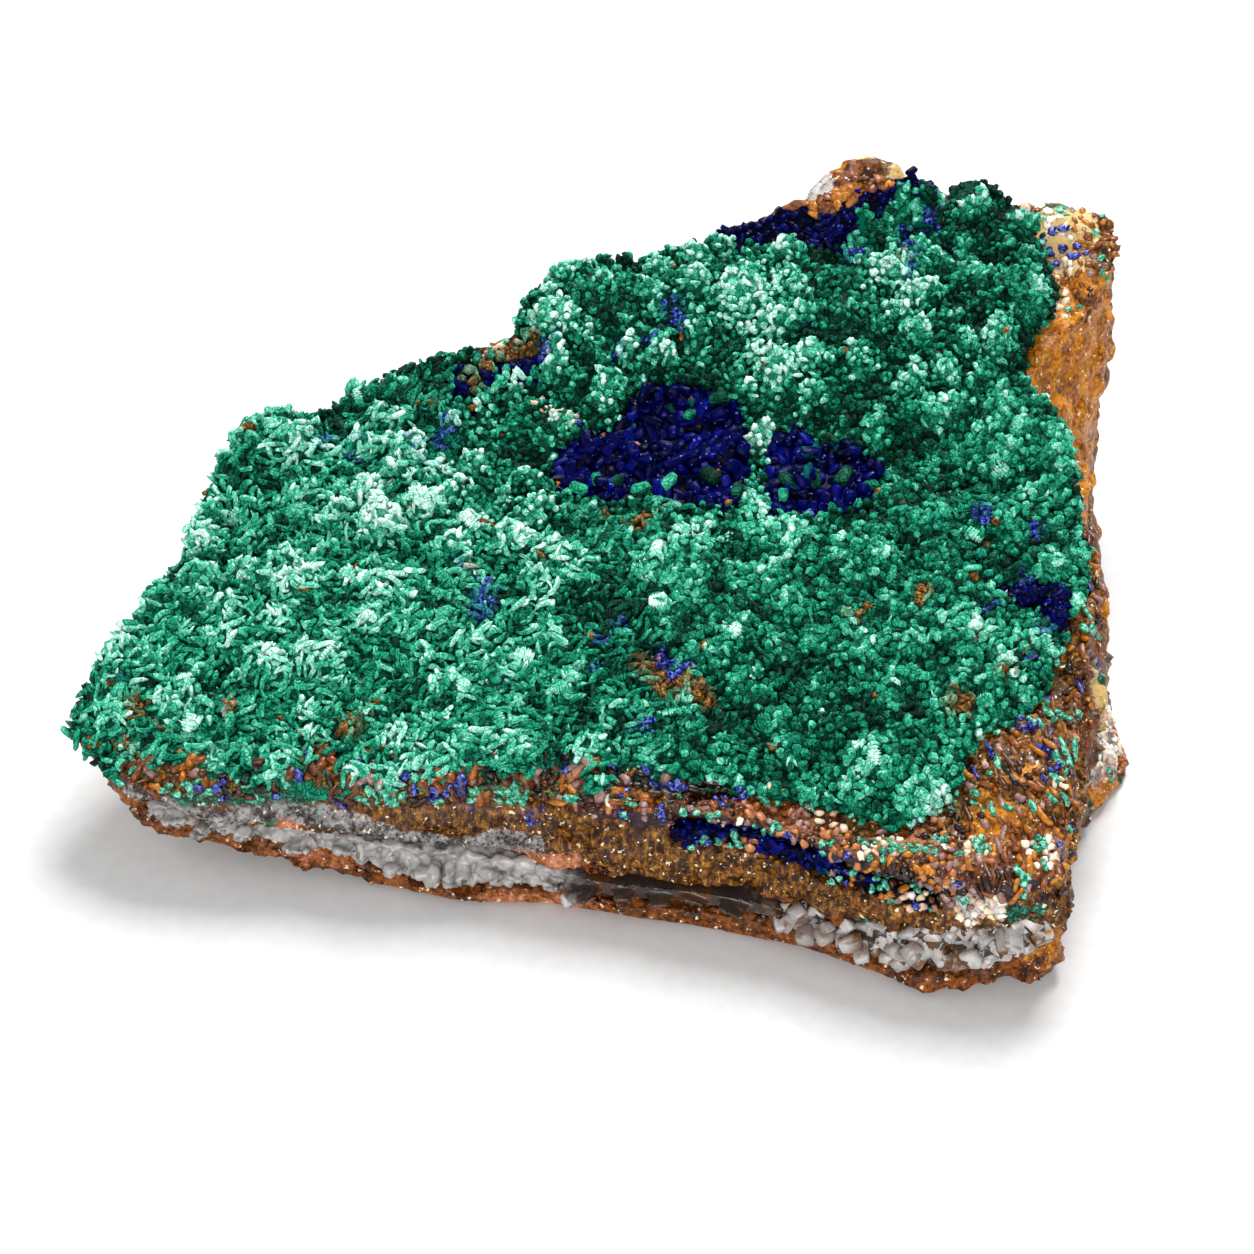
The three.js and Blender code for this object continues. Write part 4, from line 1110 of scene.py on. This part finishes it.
def build_curled_grains(name, ground, keep, seed, sizes, material):
    """Short curved rods, packed like worms, that run up to the right."""
    random = np.random.default_rng(seed)
    long = sizes.grain_length / MM
    worms = rod_shapes("worm", random)
    rods = rod_shapes("rod", random)
    flakes = rod_shapes("curled flake", random)
    run = {"heading": 0.5, "stray": 1.1}
    rows = [
        (0.92, rods, [(0.75 * long, 1.5 * long), (0.6, 0.9), (0.7, 1.0)], (0.15, 0.3), 0.25, -0.04, run),
        (1.5, flakes, [(1.4, 2.8), (0.4, 0.6), (0.9, 1.2)], (0.1, 0.3), 0.4, 0.05, {**run, "stray": 1.6}),
        (1.8, worms, [(1.2 * long, 2.0 * long), (0.55, 0.8), (0.75, 1.0)], (0.05, 0.2), 0.6, 0.03, run),
    ]
    rod_field(name, ground, keep, random, sizes.grain_gap / MM, rows, 6.0, 7.0, (1.0, 1.8), 0.14, material)


def build_blocky_grains(name, ground, keep, seed, sizes, material):
    """Stubby blocks and rods of the lower right."""
    random = np.random.default_rng(seed)
    long = sizes.grain_length / MM
    blocks = rod_shapes("block", random)
    beads = rod_shapes("small bead", random)
    flakes = rod_shapes("flake", random)
    rows = [
        (1.0, blocks, [(0.65 * long, 1.15 * long), (0.9, 1.3), (0.9, 1.3)], (0.3, 0.4), 0.2, -0.04, {}),
        (1.8, beads, [(0.9, 1.5), (0.85, 1.2), (0.8, 1.2)], (0.3, 0.6), 0.45, 0.03, {}),
        (1.6, flakes, [(1.3, 2.4), (0.5, 0.75), (0.9, 1.2)], (0.15, 0.4), 0.35, 0.03, {}),
    ]
    rod_field(name, ground, keep, random, sizes.grain_gap / MM, rows, 5.0, 10.0, (1.0, 1.6), 0.08, material)


def build_bead_clusters(name, ground, keep, seed, sizes, material):
    """Clusters of beads on the cauliflower lumps of the upper half, painted whitish on their tops as
    highlight.
    """
    random = np.random.default_rng(seed)
    gap = sizes.grain_gap / MM
    beads = rod_shapes("bead", random)
    flakes = rod_shapes("flat flake", random)
    tips = rod_shapes("tip", random)
    # The highest parts of the lumps, where paler tips stand as painted highlight on the lump tops
    high = cell_cushions(ground.face_middles() * PLAN, 5.0, 11, 2.4) > 0.75
    back = fine_node("azurite_back", 1.2)
    over_back = back_cover(back.face_middles())[0] & (back.face_slopes()[:, 2] > 0.1)
    left = fine_node("azurite_left", 1.2)
    over_left = (left.face_slopes()[:, 2] > 0.2) & (soft_noise(left.face_middles(), 2.6, 173) > 0.22)
    bead, taller = [(1.0, 1.7), (0.8, 1.15), (0.8, 1.2)], [(1.0, 1.7), (0.8, 1.15), (1.6, 2.1)]
    # The ground and its faces, then as in a rod field but without a turn
    rows = [
        (ground, keep, 0.92, beads, bead, (0.5, 0.5), 0.12, -0.05),
        (ground, keep, 1.5, flakes, [(1.2, 2.1), (0.5, 0.75), (0.9, 1.3)], (0.3, 0.5), 0.35, 0.02),
        (ground, keep & high, 1.25, tips, [(0.7, 1.2), (0.65, 0.95), (0.7, 1.0)], (0.4, 0.5), 0.75, 0.14),
        (back, over_back, 0.6, beads, bead, (0.5, 0.5), 0.35, 0.0),
        (left, over_left, 0.95, beads, taller, (0.5, 0.5), 0.35, 0.05),
    ]
    parts = [strewn(random, bed, where, share * gap, *row) for bed, where, share, *row in rows]
    add_piece(name, *joined(parts), material, "malachite", ["malachite_crust"])


def build_standouts(ground, material):
    """The large pale sprays, and the stubby green crystals that sit on the azurite."""
    random = np.random.default_rng(53)
    tree = ground.tree()
    centres = np.array([(x, y, 0.0) for x, y, _ in SPRAYS])
    centres[:, 2] = dropped(tree, centres)
    up = np.tile([0.0, -0.26, 0.97], (len(SPRAYS), 1))
    blades = rod_shapes("long blade", random)
    fans = sprayed(centres, up, np.array([length for *_, length in SPRAYS]), 14, blades, random, 0.34)
    seats = np.array([(x, y, 0.0) for x, y, _ in AZURITE_RIDERS])
    for name in ("azurite_centre_left", "azurite_centre_right"):
        seats[:, 2] = np.fmax(seats[:, 2], dropped(node_surface(name).tree(), seats))
    seats[:, 2] = np.where(seats[:, 2] > 0, seats[:, 2], top_plane(seats[:, 0], seats[:, 1])) + 1.0
    up = np.tile([0.0, -0.3, 0.95], (len(seats), 1))
    long = np.array([length for *_, length in AZURITE_RIDERS])
    blocks = block_shapes("malachite", random)
    axes = turned_axes(up, random.normal(0.2, 0.3, len(seats)), random)
    measures = np.stack([long, 0.62 * long, 0.62 * long], axis=1)
    looks = {key: value * (key == "tone") for key, value in grain_looks(seats, random, -0.02).items()}
    riders = grain_values(placed(blocks, seats, axes, measures, random), seats - up, up, looks)
    # The riders get less of the painted rim sheen, and their rise is kept low, so their tops get little
    # painted highlight and no painted gap shade.
    riders[1]["rim"] *= 0.3
    riders[1]["rise"] = np.minimum(riders[1]["rise"], 0.3)
    add_piece("malachite_standouts", *joined([fans, riders]), material, "malachite", ["malachite_crust"])


# The rock and its nodules

def layer_shares(points, normals):
    """How strongly each point of the rock belongs to each layer or stain."""
    x, y, z = points.T
    up = normals[:, 2]
    share = z / top_plane(x, y) + 0.04 * layered_noise(points * (0.5, 0.5, 1), 3.0, 61)
    front = smooth_step(6.5, 3.5, behind_rim(x, y))
    sides = 1 - front
    ends = [np.interp(x, FRONT_STATIONS, row) for row in (LIP_END, FIBROUS_END, SEAM_END, CRUMB_END)]

    def between(low, high):
        return smooth_step(low - 0.02, low + 0.02, share) * smooth_step(high + 0.02, high - 0.02, share)

    left_end = smooth_step(-35, -41, x)
    thin = smooth_step(-11, -5, x) * smooth_step(28, 22, x)
    dark_lip = 0.9 * front * smooth_step(ends[0] - 0.02, ends[0] + 0.02, share) * (1 - left_end)
    dark_swells = smooth_step(0.1, 0.6, soft_noise(points * (0.4, 0.4, 1), 4.0, 81))
    golden_front = front * between(ends[1] - 0.12 * thin, ends[0]) * (1 - 0.8 * left_end)
    golden_patches = smooth_step(-0.1, 0.4, soft_noise(points, 9.0, 71)) * between(0.3, 0.85)
    golden_top = smooth_step(0.3, 0.6, up) * smooth_step(30, 36, x)
    shares = {
        "lip": dark_lip * smooth_step(0.8, 0.5, up) + 0.4 * sides * dark_swells,
        "fibrous": golden_front + 0.9 * sides * golden_patches + 0.8 * sides * golden_top,
        "quartz": front * between(ends[2], ends[1]) * (0.7 - 0.7 * thin) + sides * between(0.42, 0.52) * 0.7,
        "salmon": 0.3 * front * between(ends[3], ends[2]) * left_end,
        "green": 0.5 * front * between(ends[1], ends[0]) * left_end,
        "amber": 0.25 * sides * smooth_step(0.6, 0.3, up),
    }
    uneven = wandering(points, *STAIN_EDGES)
    for name, table in STAINS.items():
        shares[name] = shares.get(name, 0) + spots_at(uneven, table)
    return shares


def build_rock(sizes, material):
    """The banded rock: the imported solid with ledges, broken faces and grit. Gives its surface back."""
    solid = node_surface("matrix")
    crust = node_surface("malachite_crust").tree()
    fine = sizes.rock_spacing / MM

    def longest(middles):
        x, y, z = middles.T
        hidden = ~np.isnan(dropped(crust, middles)) & (z > top_plane(x, y) - 6)
        coarse = smooth_step(-20, 20, y) * smooth_step(52, 48, x)
        return np.where(hidden | (z < 0.05), HIDDEN_EDGE, fine * (1.1 + 0.8 * coarse))

    rock = refined(solid, longest)
    rock = smoothed(rock, 6, rock.points[:, 2] > 0.3)
    points, normals = rock.points, rock.normals()
    slabs = broken_faces(points * (1, 1, 1.3), 9.0, 89) * smooth_step(0.4, 0.1, normals[:, 2])
    slabs *= smooth_step(0, 12, points[:, 1])
    faces = broken_faces(points * (1, 1, 1.4), 4.0, 91)
    chips = broken_faces(points, 1.7, 95)
    grains = cell_cushions(points, 1.4, 97, 0.7)
    strata = layered_noise(points * (0.2, 0.2, 1.3), 1.5, 99)
    push = 0.6 * slabs + 0.5 * faces + 0.5 * chips + 0.25 * grains - 0.15 + 0.4 * strata
    push += 0.16 * soft_noise(points, 0.8, 103)
    wall = smooth_step(47, 53, points[:, 0]) * smooth_step(-4, 4, points[:, 1])
    wall = np.maximum(wall, smooth_step(30, 36, points[:, 1]) * smooth_step(32, 36, points[:, 2]))
    botryoids = 0.7 * cell_cushions(points, 5.0, 161, 2.8) + 0.6 * cell_cushions(points, 3.4, 167, 2.0) - 0.7
    push += wall * (botryoids - push)
    for *centre, radius, height in ROCK_BULGES:
        push += height * spots_at(points, [(*centre, radius)])
    rock.points = points + normals * (push * smooth_step(0.2, 1.6, points[:, 2]))[:, None]
    rock.points[:, 2] = np.maximum(rock.points[:, 2], 0.0)
    add_piece("matrix_rock", rock, layer_shares(points, normals), material, "matrix", ["matrix"])
    return rock


def nodule_looks(places, mixes, random):
    """The tone of each nodule and whether it is blue or green, from the mix where it lies."""
    count = len(places)
    looks = {key: np.zeros(count) for key in ("tone", "blue", "green")}
    chance = 0.5 + 0.8 * np.stack([soft_noise(places, 2.2, seed) for seed in (153, 155, 157)])
    chance = np.clip(chance + random.normal(0, 0.14, (3, count)), 0, 0.999)
    for low, high, tones, shares, blue, green in mixes:
        here = (places[:, 0] >= low) & (places[:, 0] < high)
        green = green * (1 + 3 * (soft_noise(places, 3.0, 151)[here] > 0.3))
        picked = np.searchsorted(np.cumsum(shares) / sum(shares), chance[0, here])
        looks["tone"][here] = np.array(tones)[picked]
        looks["blue"][here] = chance[1, here] < blue
        looks["green"][here] = chance[2, here] < green
    looks["tone"] += random.normal(0, 0.03, count)
    return looks


def nodules_on(random, surface, keep, gap, ranges, mixes, kind, **turn):
    """Glassy nodules over the kept faces of a surface."""
    places, normals = scatter(surface, gap, random, keep)
    axes = turned_axes(normals, random.normal(0.15, 0.3, len(places)), random, **turn)
    sizes = random_sizes(ranges, len(places), random, 1.5)
    surface, owners, _ = placed(kind, places, axes, sizes, random)
    values = {key: value[owners] for key, value in nodule_looks(places, mixes, random).items()}
    # The rise drives the painted shade at the nodules' feet.
    values["rise"] = np.clip(0.25 + 1.2 * heights_over(surface, places, normals, owners), 0, 1)
    return surface, values


def build_nodules(rock, ground, front_side, material):
    """Nodules and ribs on the bare rock round the crust, and under its front edge."""
    random = np.random.default_rng(59)
    middles = rock.face_middles()
    x, y, z = middles.T
    up = rock.face_slopes()[:, 2]
    share = z / top_plane(x, y)
    open_sky = np.isnan(dropped(ground.tree(), middles))
    lip = open_sky & (share > 0.84) & (y < -26) & (x < 38) & (up > -0.3)
    bare = open_sky & (share > 0.90) & (y < 0) & (x >= 38) & (up > 0.3)
    edge = open_sky & (share > 0.75) & (x > 44) & (up > -0.2) & (y < -2) & ~bare
    knob = open_sky & (share > 0.92) & (y > 30) & (x > 46) & (up > 0.1)
    shoulder = open_sky & (share > 0.92) & (x < 0) & (y > 0) & (up > 0.1)
    pink = patches_at(middles, PINK_PATCHES) * (up > -0.3) * (share > 0.7) > 0.5
    blue = patches_at(middles, BLUE_RIBS) * (up > 0) * (share > 0.8) > 0.5
    knob_blue = patches_at(middles, KNOB_BLUES) * (up > -0.2) * (share > 0.8) > 0.5
    top = (knob | shoulder) & ~knob_blue
    white = (spots_at(wandering(middles, *STAIN_EDGES), STAINS["glassy"]) > 0.35) & (share > 0.1) & (y < 0)
    cream = patches_at(ground.face_middles(), CREAM_PATCHES) * (ground.face_slopes()[:, 2] > 0.2) > 0.5
    back = fine_node("azurite_back", 1.2)
    window = back_cover(back.face_middles())[1] & (back.face_slopes()[:, 2] > 0.1)
    ledge = fine_node("azurite_lip", 0.9)
    brown = lip_cover(ledge.face_middles()) & (ledge.face_slopes() @ OPEN_SIDE > 0.1)
    centre = node_surface("azurite_centre_left")
    high = centre.face_slopes()[:, 2] > 0.4
    pebbles = rod_shapes("pebble", random)
    ribs = rod_shapes("rib", random)
    up_right, down_right = {"heading": 0.4, "stray": 0.8}, {"heading": -1.2, "stray": 0.45}
    # The ground and its faces, the gap, the (least, greatest) length, width and height, the mix, the shapes
    # and how they turn
    rows = [
        (ground, front_side, 0.9, [(1.4, 3.4), (0.8, 1.5), (0.6, 1.0)], NODULE_MIXES, pebbles, {}),
        (ground, cream, 0.9, [(1.3, 2.8), (0.6, 1.0), (1.0, 1.5)], CREAM_MIX, ribs, up_right),
        (rock, pink, 0.85, [(0.9, 1.7), (0.7, 1.1), (0.7, 1.1)], CREAM_MIX, pebbles, {}),
        (rock, blue, 0.8, [(1.1, 2.0), (0.5, 0.8), (0.7, 1.1)], BLUE_MIX, ribs, {}),
        (rock, knob_blue, 1.5, [(1.4, 2.3), (1.0, 1.5), (0.7, 1.0)], KNOB_BLUE_MIX, pebbles, {}),
        (rock, lip, 0.85, [(0.8, 1.7), (0.7, 1.2), (0.6, 1.0)], NODULE_MIXES, pebbles, {}),
        (rock, bare, 1.15, [(1.6, 3.4), (0.6, 1.0), (0.6, 1.0)], NODULE_MIXES, ribs, down_right),
        (rock, white, 0.8, [(0.9, 1.9), (0.7, 1.1), (0.4, 0.6)], WHITE_MIX, pebbles, {}),
        (rock, edge, 2.2, [(0.9, 2.4), (0.7, 1.5), (0.6, 1.2)], NODULE_MIXES, pebbles, {}),
        (rock, top, 1.0, [(0.8, 1.9), (0.7, 1.3), (0.3, 0.6)], KNOB_MIXES, pebbles, {}),
        (back, window, 0.8, [(1.6, 2.8), (1.3, 2.0), (0.4, 0.6)], WINDOW_MIX, pebbles, {}),
        (ledge, brown, 0.75, [(0.8, 1.7), (0.7, 1.1), (0.6, 1.0)], NODULE_MIXES, pebbles, {}),
        (centre, high, 4.4, [(0.7, 1.2), (0.5, 0.8), (1.2, 1.5)], WINDOW_MIX, pebbles, {}),
    ]
    parts = [nodules_on(random, *row, **turn) for *row, turn in rows]
    add_piece("ore_nodules", *joined(parts), material, "matrix", ["matrix"])


# The azurite

def back_cover(points):
    """What lies on the azurite at the back: where the green crust covers it, and where bare rock does."""
    x, y, _ = points.T
    crust = y < np.interp(x, *zip(*BACK_BORDER)) + 0.5 * soft_noise(points * PLAN, 2.0, 141)
    middle_x, middle_y, wide, deep = BACK_WINDOW
    window = ((x - middle_x) / wide) ** 2 + ((y - middle_y) / deep) ** 2 < 1
    knob = (x > BACK_KNOB[0]) & (x < BACK_KNOB[1]) & (y > BACK_KNOB[2])
    return crust, (window | knob) & ~crust


def lip_cover(points):
    """Where brown nodules lie on the azurite of the front lip."""
    return soft_noise(points, 3.4, 145) + 0.25 * (points[:, 2] - 13.0) < 0.0


def build_azurite(name, gap, ranges, seed, material):
    """One cluster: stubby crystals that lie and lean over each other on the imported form."""
    random = np.random.default_rng(seed)
    bed = fine_node(name, 0.9)
    bed = smoothed(bed, 3, np.ones(len(bed.points), bool))
    blocks = block_shapes("azurite", random)
    shown = bed.face_slopes() @ OPEN_SIDE > 0.15
    brighter, covered = 0, np.zeros(len(bed.points))
    if name == "azurite_back":
        crust, rock = back_cover(bed.face_middles())
        shown &= ~crust & ~rock
        covered = back_cover(bed.points)[0].astype(float)
    if name == "azurite_lip":
        shown &= ~lip_cover(bed.face_middles())
        brighter = 0.1
    places, normals = scatter(bed, gap, random, shown)
    upright = unit(normals + (0, -0.1, 0.5))
    axes = turned_axes(upright, random.normal(0.25, 0.4, len(places)), random)
    sizes = random_sizes(ranges, len(places), random)
    surface, owners, _ = placed(blocks, places - 0.15 * upright, axes, sizes, random)
    tones = random.normal(0.26, 0.12, len(places)) + 0.14 * (random.random(len(places)) < 0.05) + brighter
    stains = 0.6 * random.random(len(places)) ** 14
    parts = [
        (surface, {"tone": tones[owners], "stain": stains[owners]}),
        # The bed between the crystals gets a low tone, painted dark as the shade in the gaps.
        (bed, {"tone": np.full(len(bed.points), -0.15), "stain": covered}),
    ]
    add_piece(name + "_crystals", *joined(parts), material, "azurite", [name])


# The quartz

def build_quartz(sizes, material):
    """The seam of milky quartz: a broken glassy mass, with blocky crystals where it is widest."""
    random = np.random.default_rng(71)
    bed = fine_node("quartz_seam", 0.55)
    bed = smoothed(bed, 1, np.ones(len(bed.points), bool))
    x = bed.points[:, 0]
    bed = smoothed(bed, 3, (x < -9) | (x > 22))
    points = bed.points
    x = points[:, 0]
    chips = broken_faces(points, 2.6, 107) + 0.6 * broken_faces(points, 1.2, 117)
    seams = cell_cushions(points, 2.2, 127, 0.5)
    thin = smooth_step(-9, -3, x) * smooth_step(22, 16, x)
    massive = smooth_step(16, 24, x)
    bed.points = points + bed.normals() * ((0.65 * chips + 0.25 * seams) * (1 - thin) - 0.1)[:, None]
    parts = [(bed, {
        "tone": 0.3 + 0.22 * seams + 0.12 * soft_noise(points, 4.0, 131) - 0.5 * thin - 0.6 * massive,
        "stain": 0.2 * smooth_step(0.2, 0.7, soft_noise(points, 3.0, 133)) + 0.5 * thin + 0.55 * massive,
    })]
    blocks = block_shapes("quartz", random)
    longest = sizes.quartz_length / MM
    outward = -bed.face_slopes()[:, 1]
    middles = bed.face_middles()[:, 0]
    for low, high, gap, share, tone in QUARTZ_STRETCHES:
        places, normals = scatter(bed, gap, random, (outward > 0.1) & (middles > low) & (middles < high))
        count = len(places)
        axes = turned_axes(normals, random.normal(0.1, 0.25, count), random, math.pi / 2, 0.6)
        long = share * longest
        ranges = [(0.6 * long, 1.2 * long), (0.5 * long, 0.9 * long), (0.5 * long, 0.8 * long)]
        measures = random_sizes(ranges, count, random)
        surface, owners, _ = placed(blocks, places - 0.26 * long * normals, axes, measures, random)
        tones = random.normal(tone, 0.12, count)
        deep = smooth_step(0.35, -0.35, heights_over(surface, places, normals, owners))
        stains = (0.4 * random.random(count) ** 5)[owners] + 0.7 * deep
        parts.append((surface, {"tone": tones[owners], "stain": stains}))
    add_piece("quartz_crystals", *joined(parts), material, "quartz", ["quartz_seam"])


# The stage

def build_stage(colours, sizes):
    """The white card, the soft lamps and the photograph's camera."""
    half = sizes.card_width / 2
    mesh = bpy.data.meshes.new("card")
    corners = [(-half, -half, 0), (half, -half, 0), (half, half, 0), (-half, half, 0)]
    mesh.from_pydata(corners, [], [(0, 1, 2, 3)])
    mesh.materials.append(card_material(colours))
    new_object("card", mesh)
    for name, place, width, power in LAMPS:
        lamp = bpy.data.lights.new(name, "AREA")
        lamp.shape = "SQUARE"
        lamp.size = width
        lamp.energy = power
        light = new_object(name, lamp)
        light.location = place
        light.rotation_euler = (Vector(LAMP_TARGET) - Vector(place)).to_track_quat("-Z", "Y").to_euler()
    world = bpy.data.worlds.new("studio")
    bpy.context.scene.world = world
    world.use_nodes = True
    background = world.node_tree.nodes["Background"]
    background.inputs["Color"].default_value = hex_colour(0xFFFFFF)
    background.inputs["Strength"].default_value = SKY_STRENGTH
    bpy.context.scene.view_settings.view_transform = "Standard"
    lens = bpy.data.cameras.new("camera")
    lens.sensor_width = SENSOR
    lens.lens = SENSOR * FOCAL_PIXELS / PHOTO_PIXELS
    camera = new_object("camera", lens)
    camera.location = [c * MM for c in CAMERA_PLACE]
    camera.rotation_euler = (math.radians(90 - CAMERA_DIP), 0, 0)
    bpy.context.scene.camera = camera


# Settings

def length_setting(name, description, millimetres):
    """A length in the sidebar, given in millimetres."""
    return FloatProperty(name=name, description=description, subtype="DISTANCE", unit="LENGTH",
                         min=0.1 * MM, default=millimetres * MM)


def colour_setting(name, description, code):
    """A colour in the sidebar, given as an sRGB hex value."""
    return FloatVectorProperty(name=name, description=description, subtype="COLOR", size=4, min=0, max=1,
                               default=hex_colour(code))


class SpecimenSizes(bpy.types.PropertyGroup):
    """Sizes that a user might change."""

    grain_length: length_setting("Grain length", "Usual length of the malachite grains", 1.7)
    grain_gap: length_setting("Grain gap", "Least distance between malachite grains", 0.96)
    bed_spacing: length_setting("Bed spacing", "Longest edge of the crust's bed", 1.05)
    rock_spacing: length_setting("Rock spacing", "Longest edge of the rock's surface", 0.8)
    quartz_length: length_setting("Quartz length", "Length of the largest quartz crystals", 3.2)
    card_width: length_setting("Card width", "Width of the card that the specimen lies on", 4000)


class SpecimenColours(bpy.types.PropertyGroup):
    """Colours of the minerals and the card."""

    # Also the painted shade in the gaps between the grains, and the darkest green of the rock's green stains.
    malachite_gap: colour_setting("Malachite gap", "In the gaps between the grains", 0x002417)
    malachite_deep: colour_setting("Malachite deep", "The darkest grains", 0x04624A)
    malachite_mid: colour_setting("Malachite", "Most of the grains", 0x159A74)
    malachite_light: colour_setting("Malachite light", "Lighter grains", 0x56C4A2)
    malachite_pale: colour_setting("Malachite pale", "Pale grains", 0xA2E4D0)
    malachite_tip: colour_setting("Malachite tip", "Fibre ends that look white", 0xEEFCF7)
    azurite_deep: colour_setting("Azurite deep", "Shaded azurite", 0x000112)
    azurite_body: colour_setting("Azurite", "The body of the crystals", 0x01054C)
    azurite_face: colour_setting("Azurite face", "Brighter faces", 0x071388)
    # Also the painted glints on the crystals.
    azurite_pale: colour_setting("Azurite pale", "Altered, powdery azurite", 0x6C84D0)
    quartz_smoky: colour_setting("Quartz smoky", "Dark cracks of the seam", 0x3A3230)
    quartz_grey: colour_setting("Quartz grey", "The grey seam", 0x9A9694)
    quartz_milky: colour_setting("Quartz milky", "The milky crystals", 0xD0CBC7)
    quartz_white: colour_setting("Quartz white", "The whitest crystals", 0xF1EDE8)
    stain_dark: colour_setting("Stain dark", "Dark rust on the malachite", 0x301606)
    stain_mid: colour_setting("Stain", "Rust on the malachite", 0x70441A)
    stain_light: colour_setting("Stain light", "Ochre on the malachite", 0xB48C48)
    # Also the painted shade at the feet of the nodules.
    ore_dark: colour_setting("Ore dark", "Cracks of the rock", 0x180A04)
    rust_deep: colour_setting("Rust deep", "Dark limonite", 0x42200A)
    rust: colour_setting("Rust", "Limonite", 0x864612)
    rust_pale: colour_setting("Rust pale", "Pale limonite", 0xAC6C34)
    goethite_deep: colour_setting("Goethite deep", "Dark fibres", 0x3C1F08)
    goethite: colour_setting("Goethite", "Fibrous goethite", 0x7E4E10)
    goethite_gold: colour_setting("Goethite gold", "Golden fibres", 0xBA8A3E)
    manganese: colour_setting("Manganese", "The dark lip", 0x33232A)
    manganese_pale: colour_setting("Manganese pale", "The purple-grey of the lip", 0x7A6468)
    salmon: colour_setting("Salmon", "Pink calcite", 0xB4704C)
    salmon_pale: colour_setting("Salmon pale", "Pale pink calcite", 0xDDB29A)
    amber_deep: colour_setting("Amber deep", "Brown of the broken right wall", 0x8A4C08)
    amber: colour_setting("Amber", "Orange of the broken right wall", 0xCC8010)
    amber_pale: colour_setting("Amber pale", "Yellow of the broken right wall", 0xE8AE5C)
    cream: colour_setting("Cream", "Cream calcite and clay", 0xCCAC6C)
    # Also the painted glints of the rock.
    cream_pale: colour_setting("Cream pale", "Pale calcite and clay", 0xE9DCBA)
    floor: colour_setting("Card", "The card", 0xD8D8D8)
    floor_pale: colour_setting("Card pale", "The card where it is whitest", 0xDEDEDE)


# Operators

class SPECIMEN_OT_rock(bpy.types.Operator):
    """Builds the banded rock and the nodules on it"""
    bl_idname = "specimen.rock"
    bl_label = "Rock"

    def execute(self, context):
        sizes, colours = context.scene.specimen_sizes, context.scene.specimen_colours
        ground = crust_ground(sizes.bed_spacing / MM)
        rock = build_rock(sizes, ore_material(colours))
        build_nodules(rock, ground, crust_zones(ground)["front_side"], crumb_material(colours))
        return {"FINISHED"}


class SPECIMEN_OT_malachite(bpy.types.Operator):
    """Builds the malachite crust: its bed, its grains in four zones and what stands out of it"""
    bl_idname = "specimen.malachite"
    bl_label = "Malachite"

    def execute(self, context):
        sizes = context.scene.specimen_sizes
        ground = crust_ground(sizes.bed_spacing / MM)
        zones = crust_zones(ground)
        material = malachite_material(context.scene.specimen_colours)
        build_crust_bed(ground, material)
        for zone, seed, build in (("left", 41, build_curled_grains), ("middle", 42, build_curled_grains),
                                  ("right", 43, build_blocky_grains), ("upper", 47, build_bead_clusters)):
            build("malachite_grains_" + zone, ground, zones[zone], seed, sizes, material)
        build_standouts(ground, material)
        return {"FINISHED"}


class SPECIMEN_OT_azurite(bpy.types.Operator):
    """Builds the azurite crystals of the windows in the crust and of the dark lip"""
    bl_idname = "specimen.azurite"
    bl_label = "Azurite"

    def execute(self, context):
        material = azurite_material(context.scene.specimen_colours)
        for i, (name, gap, ranges) in enumerate(AZURITE_CLUSTERS):
            build_azurite(name, gap, ranges, 200 + i, material)
        return {"FINISHED"}


class SPECIMEN_OT_quartz(bpy.types.Operator):
    """Builds the seam of milky quartz in the front wall"""
    bl_idname = "specimen.quartz"
    bl_label = "Quartz"

    def execute(self, context):
        build_quartz(context.scene.specimen_sizes, quartz_material(context.scene.specimen_colours))
        return {"FINISHED"}


class SPECIMEN_OT_stage(bpy.types.Operator):
    """Builds the card, the lamps and the camera"""
    bl_idname = "specimen.stage"
    bl_label = "Stage"

    def execute(self, context):
        build_stage(context.scene.specimen_colours, context.scene.specimen_sizes)
        return {"FINISHED"}


OPERATORS = (
    SPECIMEN_OT_stage, SPECIMEN_OT_rock, SPECIMEN_OT_malachite, SPECIMEN_OT_azurite, SPECIMEN_OT_quartz)


class SPECIMEN_PT_panel(bpy.types.Panel):
    """Lists the operators and their settings"""
    bl_idname = "SPECIMEN_PT_panel"
    bl_label = "Specimen"
    bl_space_type = "VIEW_3D"
    bl_region_type = "UI"
    bl_category = "Specimen"

    def draw(self, context):
        for operator in OPERATORS:
            self.layout.operator(operator.bl_idname)
        for settings in (context.scene.specimen_sizes, context.scene.specimen_colours):
            for name in settings.bl_rna.properties.keys():
                if name not in ("rna_type", "name"):
                    self.layout.prop(settings, name)


CLASSES = (SpecimenSizes, SpecimenColours, *OPERATORS, SPECIMEN_PT_panel)


def register():
    for cls in CLASSES:
        bpy.utils.register_class(cls)
    bpy.types.Scene.specimen_sizes = PointerProperty(type=SpecimenSizes)
    bpy.types.Scene.specimen_colours = PointerProperty(type=SpecimenColours)


def unregister():
    del bpy.types.Scene.specimen_colours
    del bpy.types.Scene.specimen_sizes
    for cls in reversed(CLASSES):
        bpy.utils.unregister_class(cls)


def main():
    register()
    bpy.ops.specimen.stage()
    bpy.ops.specimen.rock()
    bpy.ops.specimen.malachite()
    bpy.ops.specimen.azurite()
    bpy.ops.specimen.quartz()


if __name__ == "__main__":
    main()
